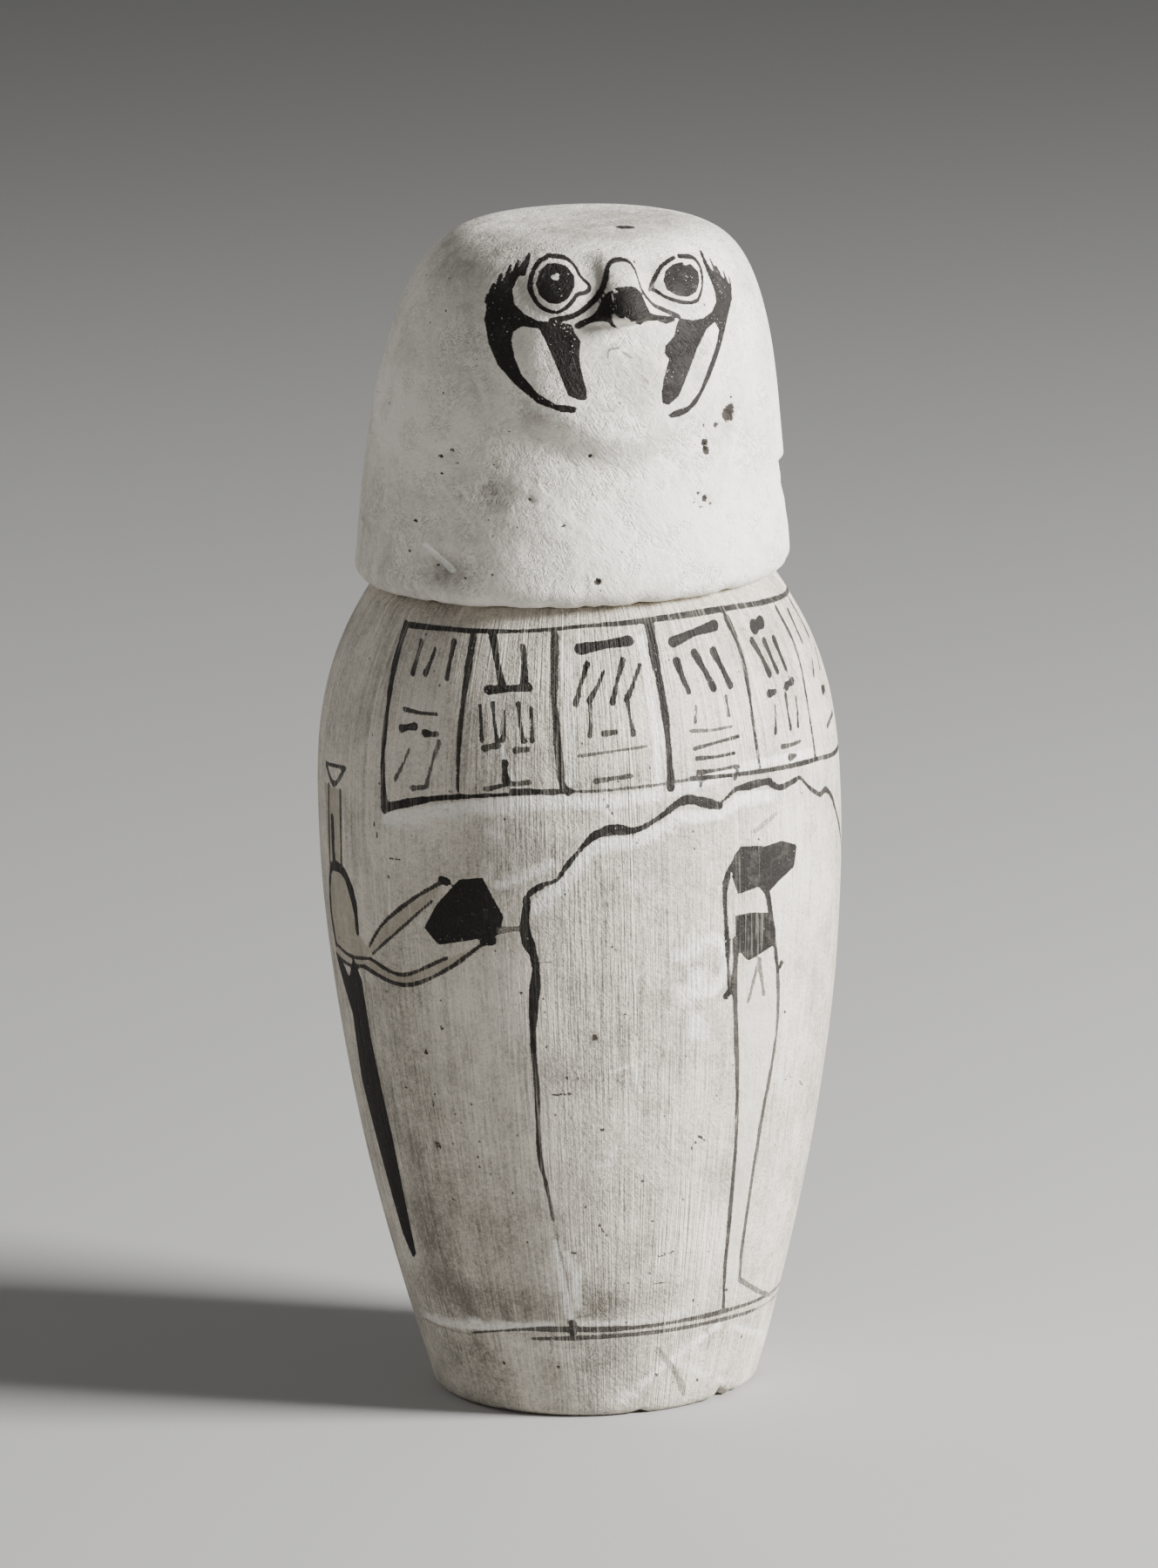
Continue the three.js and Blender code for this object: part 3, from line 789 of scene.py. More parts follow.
def domeHeight(turn, radius):
    left = np.clip(1 - (radius / lidForm["radius"]) ** lidForm["crownSharpness"], 0, 1)
    span = lidForm["top"] - lidForm["domeBottom"]
    return lidForm["domeBottom"] + span * left ** (1 / domeFullness(turn))


def lidProfile():
    form = lidForm
    bossFoot = form["bottom"] - form["bossDepth"]
    profile = [(0, bossFoot), (16, bossFoot), (form["bossRadius"] - form["bossTaper"] - 1, bossFoot),
               (form["bossRadius"] - form["bossTaper"], bossFoot + 0.8),
               (form["bossRadius"], form["bottom"] - 1), (form["bossRadius"], form["bottom"])]
    profile += [(radius, form["bottom"]) for radius in form["undersideRings"]]
    profile += cornerArc(form["radius"] - form["edge"], form["bottom"] + form["edge"], form["edge"],
                         -90, 0, 6)
    faceStart, faceRows = form["faceRows"]
    profile += [(form["radius"], z) for z in np.linspace(*form["wallRows"])]
    profile += [(form["radius"], z) for z in np.linspace(faceStart, form["capHeight"], faceRows)]
    capShares = np.concatenate([np.linspace(0.985, 0.74, 14), np.linspace(0.70, 0.06, 17)])
    capRise = form["top"] - form["capHeight"]
    profile += [(form["radius"] * s, form["capHeight"] + (1 - s) * capRise) for s in capShares]
    profile.append((0, form["top"]))
    return profile


def beakRidge(across, height):
    form = lidForm
    down = (form["beakTop"] - height) / (form["beakTop"] - form["beakTip"])
    widening = form["beakHalfWidth"] - form["beakTopHalfWidth"]
    half = form["beakTopHalfWidth"] + widening * np.clip(down, 0, 1)
    return np.clip(1 - (np.abs(across) / half) ** 2.2, 0, 1), down


def faceRelief(across, height):
    form = lidForm
    ridge, down = beakRidge(across, height)
    reach = softStep(-0.1, 0.25, down) * (0.3 + 0.7 * down)
    under = 1 - softStep(1.0, 1.24, down + 0.05 * np.abs(across) / 9)
    beak = form["beakReach"] * reach * ridge * under
    aside = np.abs(across) - form["eyeAcross"]
    up = height - form["eyeHeight"]
    ball = np.clip(1 - (np.hypot(aside, up) / form["eyeRadius"]) ** 2, 0, 1)
    eyes = form["eyeSwell"] * ball
    eyes -= form["socketDepth"] * softPatch(aside, up, form["eyeRadius"] * 1.9, form["eyeRadius"] * 1.6)
    place = form["hollowPlace"]
    besideBeak = softPatch(np.abs(across) - place[0], height - place[1], *form["hollowHalves"])
    hollow = form["hollowDepth"] * besideBeak * (1 - np.clip(ridge * 3, 0, 1))
    throat = form["throatSwell"] * (1 - softStep(0.66, 1.03, np.hypot(
        across / form["throatHalfWidth"], (height - form["throatHeight"]) / form["throatHalfHeight"])))
    brow = form["browSwell"] * softPatch(across, height - form["browHeight"], 38, 6)
    # the line under the beak's corners
    place = form["gapePlace"]
    gape = form["gapeDepth"] * softPatch(np.abs(across) - place[0], height - place[1], *form["gapeHalves"])
    return beak + eyes - hollow + throat + brow - gape


def flakeLoss(turn, height):
    form = lidForm
    aside = np.degrees(turn) - form["flakeAngle"]
    half = form["flakeHalfAngle"]
    loss = form["flakeDepth"] * (1 - softStep(half * 0.67, half * 1.33, np.abs(aside)))
    loss = loss * softStep(0, form["flakeEdge"], form["flakeTop"] - height)
    loss = loss * softStep(0, form["flakeTop"] - form["flakeBottom"], height - form["flakeBottom"])
    facets = 1 + 0.22 * np.sin(height * 0.55 + aside * 0.4) * np.sin(aside * 0.5 - height * 0.2)
    return loss * facets


# pits, dents and nicks in the lid: across, height, half width, half height, tilt, depth
lidPits = [
    (31.3, 286.8, 1.8, 2.4, -25, 1.3), (23.1, 278.8, 1.0, 2.3, 10, 1.2), (26.9, 284.4, 0.8, 1.0, 0, 0.4),
    (22.5, 284.7, 0.9, 1.1, 0, 0.25), (32.6, 291.3, 0.6, 0.6, 0, 0.4), (22.6, 264.3, 1.1, 1.0, 0, 0.8),
    (20.6, 266, 0.7, 0.7, 0, 0.5), (24.4, 262.6, 0.7, 0.8, 0, 0.5), (21.4, 262, 0.6, 0.6, 0, 0.4),
    (-9.9, 244, 1.0, 1.0, 0, 0.8), (-11.2, 279.5, 0.7, 0.7, 0, 0.5), (-35.3, 276.7, 0.8, 0.8, 0, 0.4),
    (-36.3, 269.4, 6, 5, 20, 0.6), (-49, 249.7, 4.4, 0.6, -51, 0.9), (-47.5, 247.4, 7, 6, 0, 1.0),
    (-46.2, 279.6, 3.4, 3, 0, 0.3), (-45, 280.4, 0.6, 0.8, 0, 0.4), (-47.6, 278.5, 0.6, 0.6, 0, 0.4),
    (-27.1, 267.3, 1.2, 1.6, 20, 0.4), (40, 262, 5, 4, 0, 0.3), (-6, 262, 9, 5, 10, 0.2),
    (-24, 252, 7, 4, -10, 0.25), (8, 252.4, 6, 5, 20, 0.25), (-18.7, 260, 1.2, 1.6, 10, 0.3),
]

# dark dirt that sits in the deeper of them, and loose specks: across, height, half width, how dark
lidDirt = [
    (31.3, 286.8, 2.1, 1.0), (32.2, 288.4, 1.2, 1.0), (23.1, 280, 1.1, 1.0), (23.5, 277.6, 1.1, 1.0),
    (26.9, 284.4, 1.0, 0.7), (22.5, 284.7, 0.9, 0.5), (32.6, 291.3, 0.5, 0.8), (22.6, 264.3, 1.0, 0.85),
    (20.6, 266, 0.6, 0.75), (24.4, 262.6, 0.6, 0.7), (21.4, 262, 0.5, 0.7), (19, 263.6, 0.5, 0.6),
    (-9.9, 244, 1.0, 1.0), (-11.2, 279.5, 0.6, 0.8), (-45, 280.4, 0.7, 0.6), (-47.6, 278.5, 0.6, 0.6),
    (-44, 277, 0.5, 0.55), (-27.1, 267.3, 0.9, 0.55), (-35.6, 276.9, 0.4, 0.7), (-34.6, 276.2, 0.4, 0.7),
    (-47.5, 273.7, 0.42, 0.7), (-43.6, 267.9, 0.42, 0.7), (-53.3, 259.5, 0.5, 0.75), (-54.7, 250.7, 0.4, 0.7),
    (-49.5, 247.6, 0.4, 0.7), (-43.4, 244.7, 0.42, 0.7), (-37.3, 261.5, 0.35, 0.7), (-20.2, 242.4, 0.35, 0.6),
    (-18.7, 260, 1.0, 0.5), (-22.3, 253.3, 0.5, 0.5), (-21.9, 265.8, 0.4, 0.5), (5.4, 331.2, 0.5, 0.8),
    (30, 279.6, 0.35, 0.6), (12, 271.4, 0.35, 0.6), (-2, 252.6, 0.3, 0.5), (40.6, 276, 0.4, 0.6),
    (46, 262.4, 0.4, 0.6), (-31.4, 286.4, 0.35, 0.6), (8.6, 289.4, 0.35, 0.5), (-58, 296, 0.5, 0.5),
]

# pale scuffs and scratches on the lid: half width, strength, then places
lidScuffs = [
    (0.65, 1.2, [(-51.5, 252.8), (-49.6, 250.4), (-46.5, 246.6)]),
    (0.8, 0.55, [(-40, 305), (-37.4, 298), (-36.4, 291)]),
    (0.35, 0.6, [(-47.6, 270), (-43, 262.4), (-40.4, 258.6)]),
    (0.35, 0.5, [(-40.6, 263.4), (-36, 256), (-34.6, 252.6)]),
    (0.3, 0.6, [(-28, 297), (-22.6, 292), (-16, 288.6)]),
    (0.3, 0.5, [(-20, 290), (-14, 295), (-6.4, 297.6)]),
    (0.3, 0.5, [(4, 296), (9, 290.6), (12.4, 286)]),
    (0.5, 0.8, [(-3.6, 316.4), (-1.4, 314.8), (2, 315), (4.4, 315.8)]),
    (0.6, 0.6, [(-26, 243.6), (-22, 241), (-21, 238.6)]),
]

# chips along the lid's lower edge: degrees, half width, rise
lidEdgeChips = [
    (-36, 5, 0.35), (-22, 1.2, 0.4), (-12, 2.0, 0.5), (-7.5, 0.8, 0.3), (2.5, 1.3, 0.5), (5.4, 0.9, 0.3),
    (14, 2.2, 0.35), (24, 1.0, 0.3), (31, 4, 0.5), (44, 1.4, 0.3), (59, 2.4, 0.3), (67.4, 5, 0.6),
    (83, 2, 0.35), (-58, 3, 0.4), (-71, 1.6, 0.5), (-87, 1.8, 1.6), (106, 7, 0.5), (139, 9, 0.9),
    (171, 5, 0.7), (-121, 7, 0.9), (-152, 4, 0.6),
]


def lidUnevenness(turn, height):
    wave = np.sin(4 * turn + height / 15) + 0.7 * np.sin(7 * turn - height / 9 + 2) + 0.5 * np.sin(
        13 * turn + height / 6)
    return 0.09 * (wave - 1.6)


def lidPlaces(points):
    # the blank's point, before it is shaped, to its turn, height and the share of the dome's radius
    radius = np.hypot(points[:, 0], points[:, 1])
    turn = np.arctan2(points[:, 0], -points[:, 1])
    return turn, points[:, 2], radius / lidForm["radius"]


def shapeLid(points):
    form = lidForm
    turn, height, share = lidPlaces(points)
    wall = (height > form["bottom"] - 0.01) & (height <= form["capHeight"]) & (share > 0.86)
    cap = height > form["capHeight"]
    rim = domeRadius(turn, np.full(len(points), form["capHeight"]))
    side = domeRadius(turn, np.maximum(height, form["domeBottom"]))
    radius = share * np.where(cap, rim, np.where(wall, side, form["radius"]))
    newHeight = np.where(cap, domeHeight(turn, radius), height)
    away = softStep(238, 246, newHeight) * softStep(0.2, 0.6, share)
    change = lidUnevenness(turn, newHeight) * away - flakeLoss(turn, newHeight)
    radius = radius + np.where(wall | cap, change, 0)
    lean = np.where(wall | cap, form["lean"] * domeShare(newHeight) ** form["leanPower"], 0)
    across = radius * np.sin(turn) + lean
    front = softStep(0, 0.5, np.cos(turn)) * np.where(wall | cap, 1, 0)
    forward = radius * np.cos(turn) + front * faceRelief(across, newHeight)
    return np.column_stack([across, -forward, newHeight]), turn, front, wall


def crownScratch(points, halfWidth):
    form = lidForm
    across = points[:, 0] - form["scratchPlace"][0]
    back = points[:, 1] - form["scratchPlace"][1]
    along, beside = 0.86 * across - 0.5 * back, 0.5 * across + 0.86 * back
    crown = points[:, 2] > form["scratchAbove"]
    return softPatch(along, beside, form["scratchReach"], halfWidth * 1.8) * crown


def carveLid(piece):
    blank = readPoints(piece)
    points, turn, front, wall = shapeLid(blank)
    bite = np.zeros(len(points))
    for across, height, halfWidth, halfHeight, tilt, depth in lidPits:
        lean = math.radians(tilt)
        u, v = points[:, 0] - across, points[:, 2] - height
        along, beside = u * math.cos(lean) + v * math.sin(lean), v * math.cos(lean) - u * math.sin(lean)
        bite += depth * softPatch(along, beside, halfWidth * 1.25, halfHeight * 1.25)
    bite *= (front > 0.05) & (points[:, 1] < 0)
    # pits go straight in towards the axis
    inward = np.column_stack([-np.sin(turn), np.cos(turn)])
    points[:, :2] += inward * bite[:, None]
    # the scratch on the crown
    points[:, 2] -= 0.5 * crownScratch(points, 1.0)
    rise = np.zeros(len(points))
    for deg, halfWidth, lift in lidEdgeChips:
        aside = degreesFrom(turn, deg) / halfWidth
        rise = np.maximum(rise, lift * np.clip(1 - np.abs(aside) ** 1.5, 0, 1))
    low = softStep(244, 236.4, points[:, 2]) * softStep(52, 57, np.hypot(points[:, 0], points[:, 1]))
    rise *= low
    rise += 0.10 * low * (1 + np.sin(np.degrees(turn) * 0.31) * np.sin(np.degrees(turn) * 0.13 + 1))
    points[:, 2] += rise
    points[:, :2] += inward * (rise * 0.5)[:, None]
    writePoints(piece, points)


# face paint: filled shapes as across and height, then lines as on the jar
faceFills = [
    (0.95, [(-20.8, 332.6), (-24, 330), (-26.8, 328.6), (-29.3, 326.6), (-31.5, 324.4), (-33.7, 321.3),
     (-35, 316.4), (-34.9, 310.5), (-33.4, 304.7), (-29.8, 299.5), (-25, 294.8), (-19.3, 292.4),
     (-15.9, 292), (-15, 293.5), (-17.4, 294.3), (-20.4, 294.5), (-24.9, 297.5), (-28.4, 302.6),
     (-29.7, 307.1), (-29.9, 311.7), (-29.2, 314), (-27.2, 315.6), (-23.5, 315.2), (-22.2, 311.9),
     (-19.8, 304.6), (-17.3, 296.9), (-14.6, 295.6), (-12.3, 295.5), (-12.4, 298.4), (-13, 301.3),
     (-13.6, 304.4), (-13.8, 307.5), (-13.2, 311.8), (-14.6, 314.2), (-15, 316.2), (-17.6, 316.8),
     (-20.5, 317), (-23.3, 317.2), (-26.2, 318.8), (-27.8, 321.2), (-27.3, 324.6), (-25.4, 327.5),
     (-23.1, 330)]),
    (0.95, [(27.6, 330.4), (29.6, 326.4), (32.6, 324.4), (35.8, 321.2), (35.3, 317.7), (32.3, 312.8),
     (28.4, 306), (24.1, 298.6), (19.5, 292), (16.8, 290), (13.9, 289), (11.4, 288.9), (10.3, 289.7),
     (12.6, 291), (16.5, 291.6), (20.2, 295), (23.6, 301.4), (27, 307.6), (28.4, 311.2), (27, 313.4),
     (23.8, 312), (20.3, 307.1), (16.8, 300.3), (13.9, 294.8), (10.6, 292.5), (8.8, 293.4),
     (8.6, 295.6), (9.3, 299.4), (11.3, 305.2), (10.1, 307), (10.6, 309.1), (13.4, 311.4),
     (14.2, 314), (15.6, 316.1), (19.4, 315), (22.7, 315.1), (26.7, 316.3), (28.9, 318.4),
     (29.1, 321.2), (27.9, 326)]),
    (0.95, [(-15.4, 331.6), (-12.9, 330.9), (-12.1, 328.6), (-13.1, 325.9), (-15.2, 323.2), (-17.9, 321.7),
     (-20.2, 321.9), (-21.9, 323.8), (-21.9, 326.6), (-20.1, 329.6), (-17.6, 331.4)]),
    (0.95, [(19.6, 329.8), (22.8, 328.9), (24.8, 326.6), (24.3, 324.3), (22.3, 322.2), (18.7, 321.3),
     (15.2, 322.1), (12.5, 323.9), (12, 326.2), (13.5, 328.5), (16.5, 329.7)]),
    (0.93, [(-14.4, 316.2), (-12.8, 317.1), (-10.4, 318), (-8.8, 319), (-7.6, 321), (-6.8, 322.8),
     (-5.6, 324.4), (-3.4, 326), (-0.3, 326.5), (2.4, 326), (3.8, 324.2), (4.5, 321.2), (5.3, 319.1),
     (8.6, 317.6), (11.7, 316.9), (14.1, 316.7), (14, 315.4), (11.5, 314.8), (8.5, 315.9), (5, 316.3),
     (3.6, 315.2), (2.4, 315.6), (0.8, 317.2), (-0.7, 317.2), (-2.3, 318.9), (-3.6, 318.2),
     (-5, 319.7), (-5.6, 319.2), (-5.4, 317.7), (-2.4, 314.4), (-4.2, 315.2), (-5.9, 316.9),
     (-7.3, 317), (-8.8, 316.8), (-10.9, 316.1), (-13.1, 314.9), (-14.2, 315.1)]),
]

faceLines = [
    ([0.5, 0.55, 0.5], 0.95, [(-16.4, 333.2), (-12.9, 332.8), (-11.4, 331.8), (-10.6, 330.3),
     (-10.4, 328.4), (-9, 326.5), (-9.1, 325.4), (-10.2, 324.6), (-12.8, 324), (-14.6, 322.1),
     (-16.6, 320.4), (-18.6, 319.5), (-20.7, 320), (-22.1, 320.9), (-22.9, 322.3), (-23.4, 324.7),
     (-22.9, 327), (-21.6, 329.3), (-19.4, 331.6), (-17.1, 332.8)]),
    ([0.5, 0.5, 0.55, 0.5], 0.94, [(19.6, 331.2), (24, 330.3), (25.6, 328.6), (26, 326.2), (25.3, 323.7),
     (23.7, 321.3), (21.6, 319.8), (18, 319.9), (14.5, 320.9), (11.8, 322.1), (9.8, 323.5),
     (8, 324.7), (8.8, 325.9), (10.6, 327.7), (12.7, 329.4), (15, 330.4), (17.9, 331.1)]),
    ([0.9, 0.7, 0.62, 0.55, 0.45, 0.42, 0.45, 0.5, 0.6], 0.93, [(-20, 317.2), (-16.7, 317.9),
     (-13.5, 318.9), (-10.2, 320.9), (-7.3, 323.6), (-5.4, 326.8), (-4.1, 329.2), (-2.7, 331.2),
     (-0.6, 332.2), (1.9, 332.2), (3.7, 331.4), (4.2, 329.8), (4, 327.4), (4.2, 325.1), (5.6, 322.7),
     (8.1, 320.2), (11.9, 318.2), (15.3, 316.4)]),
    ([0.5, 0.7], 0.7, [(7.4, 324.2), (8.6, 325)]),
    # feathered upper ends
    ([0.25, 0.9], 0.92, [(-20.6, 333.4), (-22.4, 331.2), (-24.2, 329.1)]),
    ([0.25, 0.5], 0.9, [(-23.8, 331.7), (-25.2, 329.8), (-26.3, 328)]),
    ([0.25, 0.6], 0.9, [(-26, 330.5), (-27.2, 328.8), (-28.2, 327)]),
    ([0.25, 0.6], 0.9, [(-28.8, 328.4), (-29.8, 326.8), (-30.5, 325)]),
    ([0.25, 0.6], 0.9, [(-31.2, 325.8), (-32, 324.4), (-32.4, 322.6)]),
    ([0.25, 0.5], 0.88, [(-33.2, 323), (-33.7, 321.2)]),
    ([0.45, 0.6, 0.8], 0.9, [(27.7, 331.2), (28, 328.6), (28.9, 325.2)]),
    ([0.22, 0.5], 0.86, [(30, 329), (30.4, 327.4), (30.8, 325.4)]),
    ([0.22, 0.5], 0.86, [(31.4, 327), (31.9, 325.6), (32.3, 324)]),
    ([0.22, 0.45], 0.86, [(33.7, 325.3), (34, 323.8), (34.2, 322.2)]),
    ([0.22, 0.4], 0.84, [(35.3, 323.6), (35.5, 322), (35.4, 320.4)]),
    ([0.35, 0.4, 0.3], 0.5, [(-6.2, 307), (-5.6, 309), (-3, 309.4)]),
    ([0.25, 0.3], 0.4, [(-2.4, 308.6), (0.6, 306.4)]),
    ([0.22, 0.25], 0.35, [(3, 301.6), (5.2, 298.8)]),
]

# places where the face paint has worn or flaked off: across, height, half width, half height, how far
wornSpots = [
    (-17, 328.2, 0.9, 0.65, 1.0), (-16.2, 328.9, 0.5, 0.4, 0.9), (-4.3, 322.6, 0.28, 2.0, 0.8),
    (-3.4, 325.2, 0.5, 0.5, 0.6), (21.4, 329.2, 1.2, 0.3, 0.6), (24.2, 328.4, 0.4, 0.5, 0.7),
]

# places where it has come off in flecks: across, height, half width, half height, how far
fleckedSpots = [
    (-17, 315.6, 6, 3.4, 1.0), (-15, 311, 2, 4.4, 1.0), (20.4, 325.6, 6, 5, 0.45), (-31.6, 318, 6, 10, 0.4),
    (28.6, 312, 6, 6, 0.55), (-10.4, 316.6, 3, 2.4, 0.6), (11, 316, 5, 2.4, 0.7), (-22, 296.4, 8, 5, 0.45),
    (12.6, 290.6, 5, 4, 0.5), (32, 321, 4, 6, 0.5), (-17.6, 325, 5, 6, 0.3), (10.6, 301, 4, 9, 0.4),
    (-4.6, 321.6, 1.6, 4.4, 0.9), (-20, 333, 4, 3, 0.4), (22, 319, 8, 3, 0.5),
]

# tone on the lid, partly patina and partly painted light and shade (a darker crown, a lighter left side,
# painted shade beside the beak and under the brow): across, height, half width, half height, lighter above 0
lidTonesAndPaintedLight = [
    (-34, 331, 22, 9, -0.4), (-26, 336, 16, 5, -0.35), (-18.4, 334.4, 5, 2.6, -0.6),
    (-3.9, 333, 2.8, 3.2, -0.9),
    (-50, 318, 14, 18, 0.3), (-14, 262, 26, 12, 0.4), (-36, 269, 8, 8, -0.8),
    (-33, 261, 7, 8, -0.35), (-46.4, 246.4, 9, 8, -0.8),
    (-26, 291, 7, 7, -0.45), (-12, 281, 14, 4, -0.25), (16, 262, 44, 26, 0.6), (-27.4, 267.6, 4, 4, -0.5),
    (-50, 286, 14, 22, 1.15), (-4, 252, 44, 16, 0.35), (2, 318, 3.4, 2.4, 0.8), (44, 324, 9, 12, -0.3),
    (6, 298, 18, 10, -0.45), (-20, 306, 6, 11, -0.8), (21, 304, 6, 11, -0.55), (40, 300, 10, 24, 0.5),
    (31, 284, 4, 5, -0.3), (23, 264, 5, 4, -0.5), (-45.8, 279.6, 5, 4, -0.5), (-62, 270, 9, 60, -0.3),
    (42.6, 268.6, 2.6, 2, -0.5), (-22, 257, 7, 3, -0.15), (0, 338.4, 70, 3.4, -0.5), (-57, 256, 8, 22, -0.1),
    (30, 330, 12, 5, 0.3),
]


def paintLid(layer):
    for body, places in faceFills:
        layer.fill(np.array(places, dtype=float), body)
    for widths, body, places in faceLines:
        path = smoothPath(places)
        layer.stroke(path, brushWidths(widths, len(path)), body)
    for across, height, halfWidth, halfHeight, amount in wornSpots:
        aside, up = layer.across - across, layer.up - height
        bare = amount * (1 - np.hypot(aside / halfWidth, up / halfHeight))     # above 0 inside the spot
        layer.edge = np.maximum(layer.edge, np.clip(bare, -farFromPaint, 0.8))
        layer.nearest = np.where(bare > -1.5, np.minimum(layer.nearest, 0.3), layer.nearest)


def lidPaintLayer(shaped, front):
    across = np.where((front > 0.2) & (shaped[:, 1] < 0), shaped[:, 0], offPiece)
    layer = PaintLayer(across, shaped[:, 2])
    layer.fineCells = 0.03
    paintLid(layer)
    return layer


def finishLidPaint(piece):
    shaped, turn, front, wall = shapeLid(readPoints(piece))
    layer = lidPaintLayer(shaped, front)
    writeAttribute(piece, "blackPaint", np.clip(layer.edge, -farFromPaint, farFromPaint))
    writeAttribute(piece, "paintBody", layer.body)
    wear = np.zeros(len(shaped))
    for across, height, halfWidth, halfHeight, amount in fleckedSpots:
        spot = softPatch(layer.across - across, layer.up - height, halfWidth, halfHeight)
        wear = np.maximum(wear, amount * spot)
    writeAttribute(piece, "paintWear", wear)
    tone = np.zeros(len(shaped))
    facing = 1 - softStep(-16, 16, shaped[:, 1])
    for across, height, halfWidth, halfHeight, amount in lidTonesAndPaintedLight:
        spot = softPatch(shaped[:, 0] - across, shaped[:, 2] - height, halfWidth, halfHeight)
        tone += amount * facing * spot
    # the lid's lower edge, underside and plug are coloured darker, a painted shade where it sits on the jar
    tone -= 0.25 * softStep(237.6, 235.8, shaped[:, 2])
    writeAttribute(piece, "toneAndPaintedLight", tone)
    dirt = np.zeros(len(shaped))
    for across, height, halfWidth, amount in lidDirt:
        spot = softPatch(shaped[:, 0] - across, shaped[:, 2] - height, halfWidth * 1.8, halfWidth * 1.9)
        dirt = np.maximum(dirt, amount * facing * spot)
    # the crown's scratch is dirty at its right end and fresh at its left
    crown = crownScratch(shaped, 2.6)
    dirty = shaped[:, 0] > 8
    writeAttribute(piece, "darkSpeck", np.maximum(dirt, np.where(dirty, crown, 0)))
    pale = bandCover(layer, lidScuffs, lambda path: path) * (front > 0.05)
    writeAttribute(piece, "paleRub", np.maximum(pale, np.where(dirty, 0, crown)))
    writeAttribute(piece, "washCover", np.zeros(len(shaped)))
    writeAttribute(piece, "washTone", np.zeros(len(shaped)))


def makeLid():
    form = lidForm
    arcs = [(form["frontTurn"], form["frontSteps"]), (360 - form["frontTurn"], form["backSteps"])]
    lid = turnBlank("falcon_head", lidProfile(), -form["frontTurn"] / 2, arcs)
    for reach in form["fineReaches"]:
        shaped, turn, front, wall = shapeLid(readPoints(lid))
        near = lidPaintLayer(shaped, front).nearest
        ahead = (front > 0.05) & (shaped[:, 1] < 0)
        spots = [(x, z, max(w, h)) for x, z, w, h, tilt, depth in lidPits if max(w, h) < 4]
        for across, height, size in spots + [(x, z, w * 0.7) for x, z, w, amount in lidDirt]:
            gap = np.hypot(shaped[:, 0] - across, shaped[:, 2] - height) - size
            near = np.minimum(near, np.where(ahead, np.clip(gap, 0, nothingNear), nothingNear))
        near = np.minimum(near, np.where(crownScratch(shaped, 3) > 0.05, 0, nothingNear))
        scuffs = PaintLayer(np.where(ahead, shaped[:, 0], offPiece), shaped[:, 2])
        for halfWidth, strength, places in lidScuffs:
            path = smoothPath(places)
            scuffs.stroke(path, np.full(len(path), halfWidth), 1)
        near = np.minimum(near, scuffs.nearest)
        refineNear(lid, near, reach)
    finishLidPaint(lid)
    carveLid(lid)
    print("lid:", len(lid.data.vertices), "points")
    return lid


# Limestone and paint

jarLook = {
    "stoneDark": (0.165, 0.148, 0.122, 1),
    "stoneLight": (0.82, 0.755, 0.645, 1),
    "paint": (0.018, 0.0155, 0.0135, 1),
    "dirt": (0.05, 0.04, 0.03, 1),
    "pale": (0.93, 0.90, 0.83, 1),
    "washDark": (0.30, 0.255, 0.19, 1),
    "washPale": (0.78, 0.73, 0.635, 1),
    "tone": 0.56,
    "rasp": 1.0,
    "scratches": 0.35,
    "tooling": 0.3,
    "grain": 1.0,
}

lidLook = {
    "stoneDark": (0.20, 0.178, 0.148, 1),
    "stoneLight": (0.93, 0.885, 0.79, 1),
    "paint": (0.018, 0.0155, 0.0135, 1),
    "dirt": (0.03, 0.024, 0.019, 1),
    "pale": (0.94, 0.92, 0.86, 1),
    "washDark": (0.36, 0.31, 0.235, 1),
    "washPale": (0.84, 0.80, 0.71, 1),
    "tone": 0.70,
    "rasp": 0.0,
    "scratches": 1.0,
    "tooling": 0.45,
    "grain": 0.6,
}


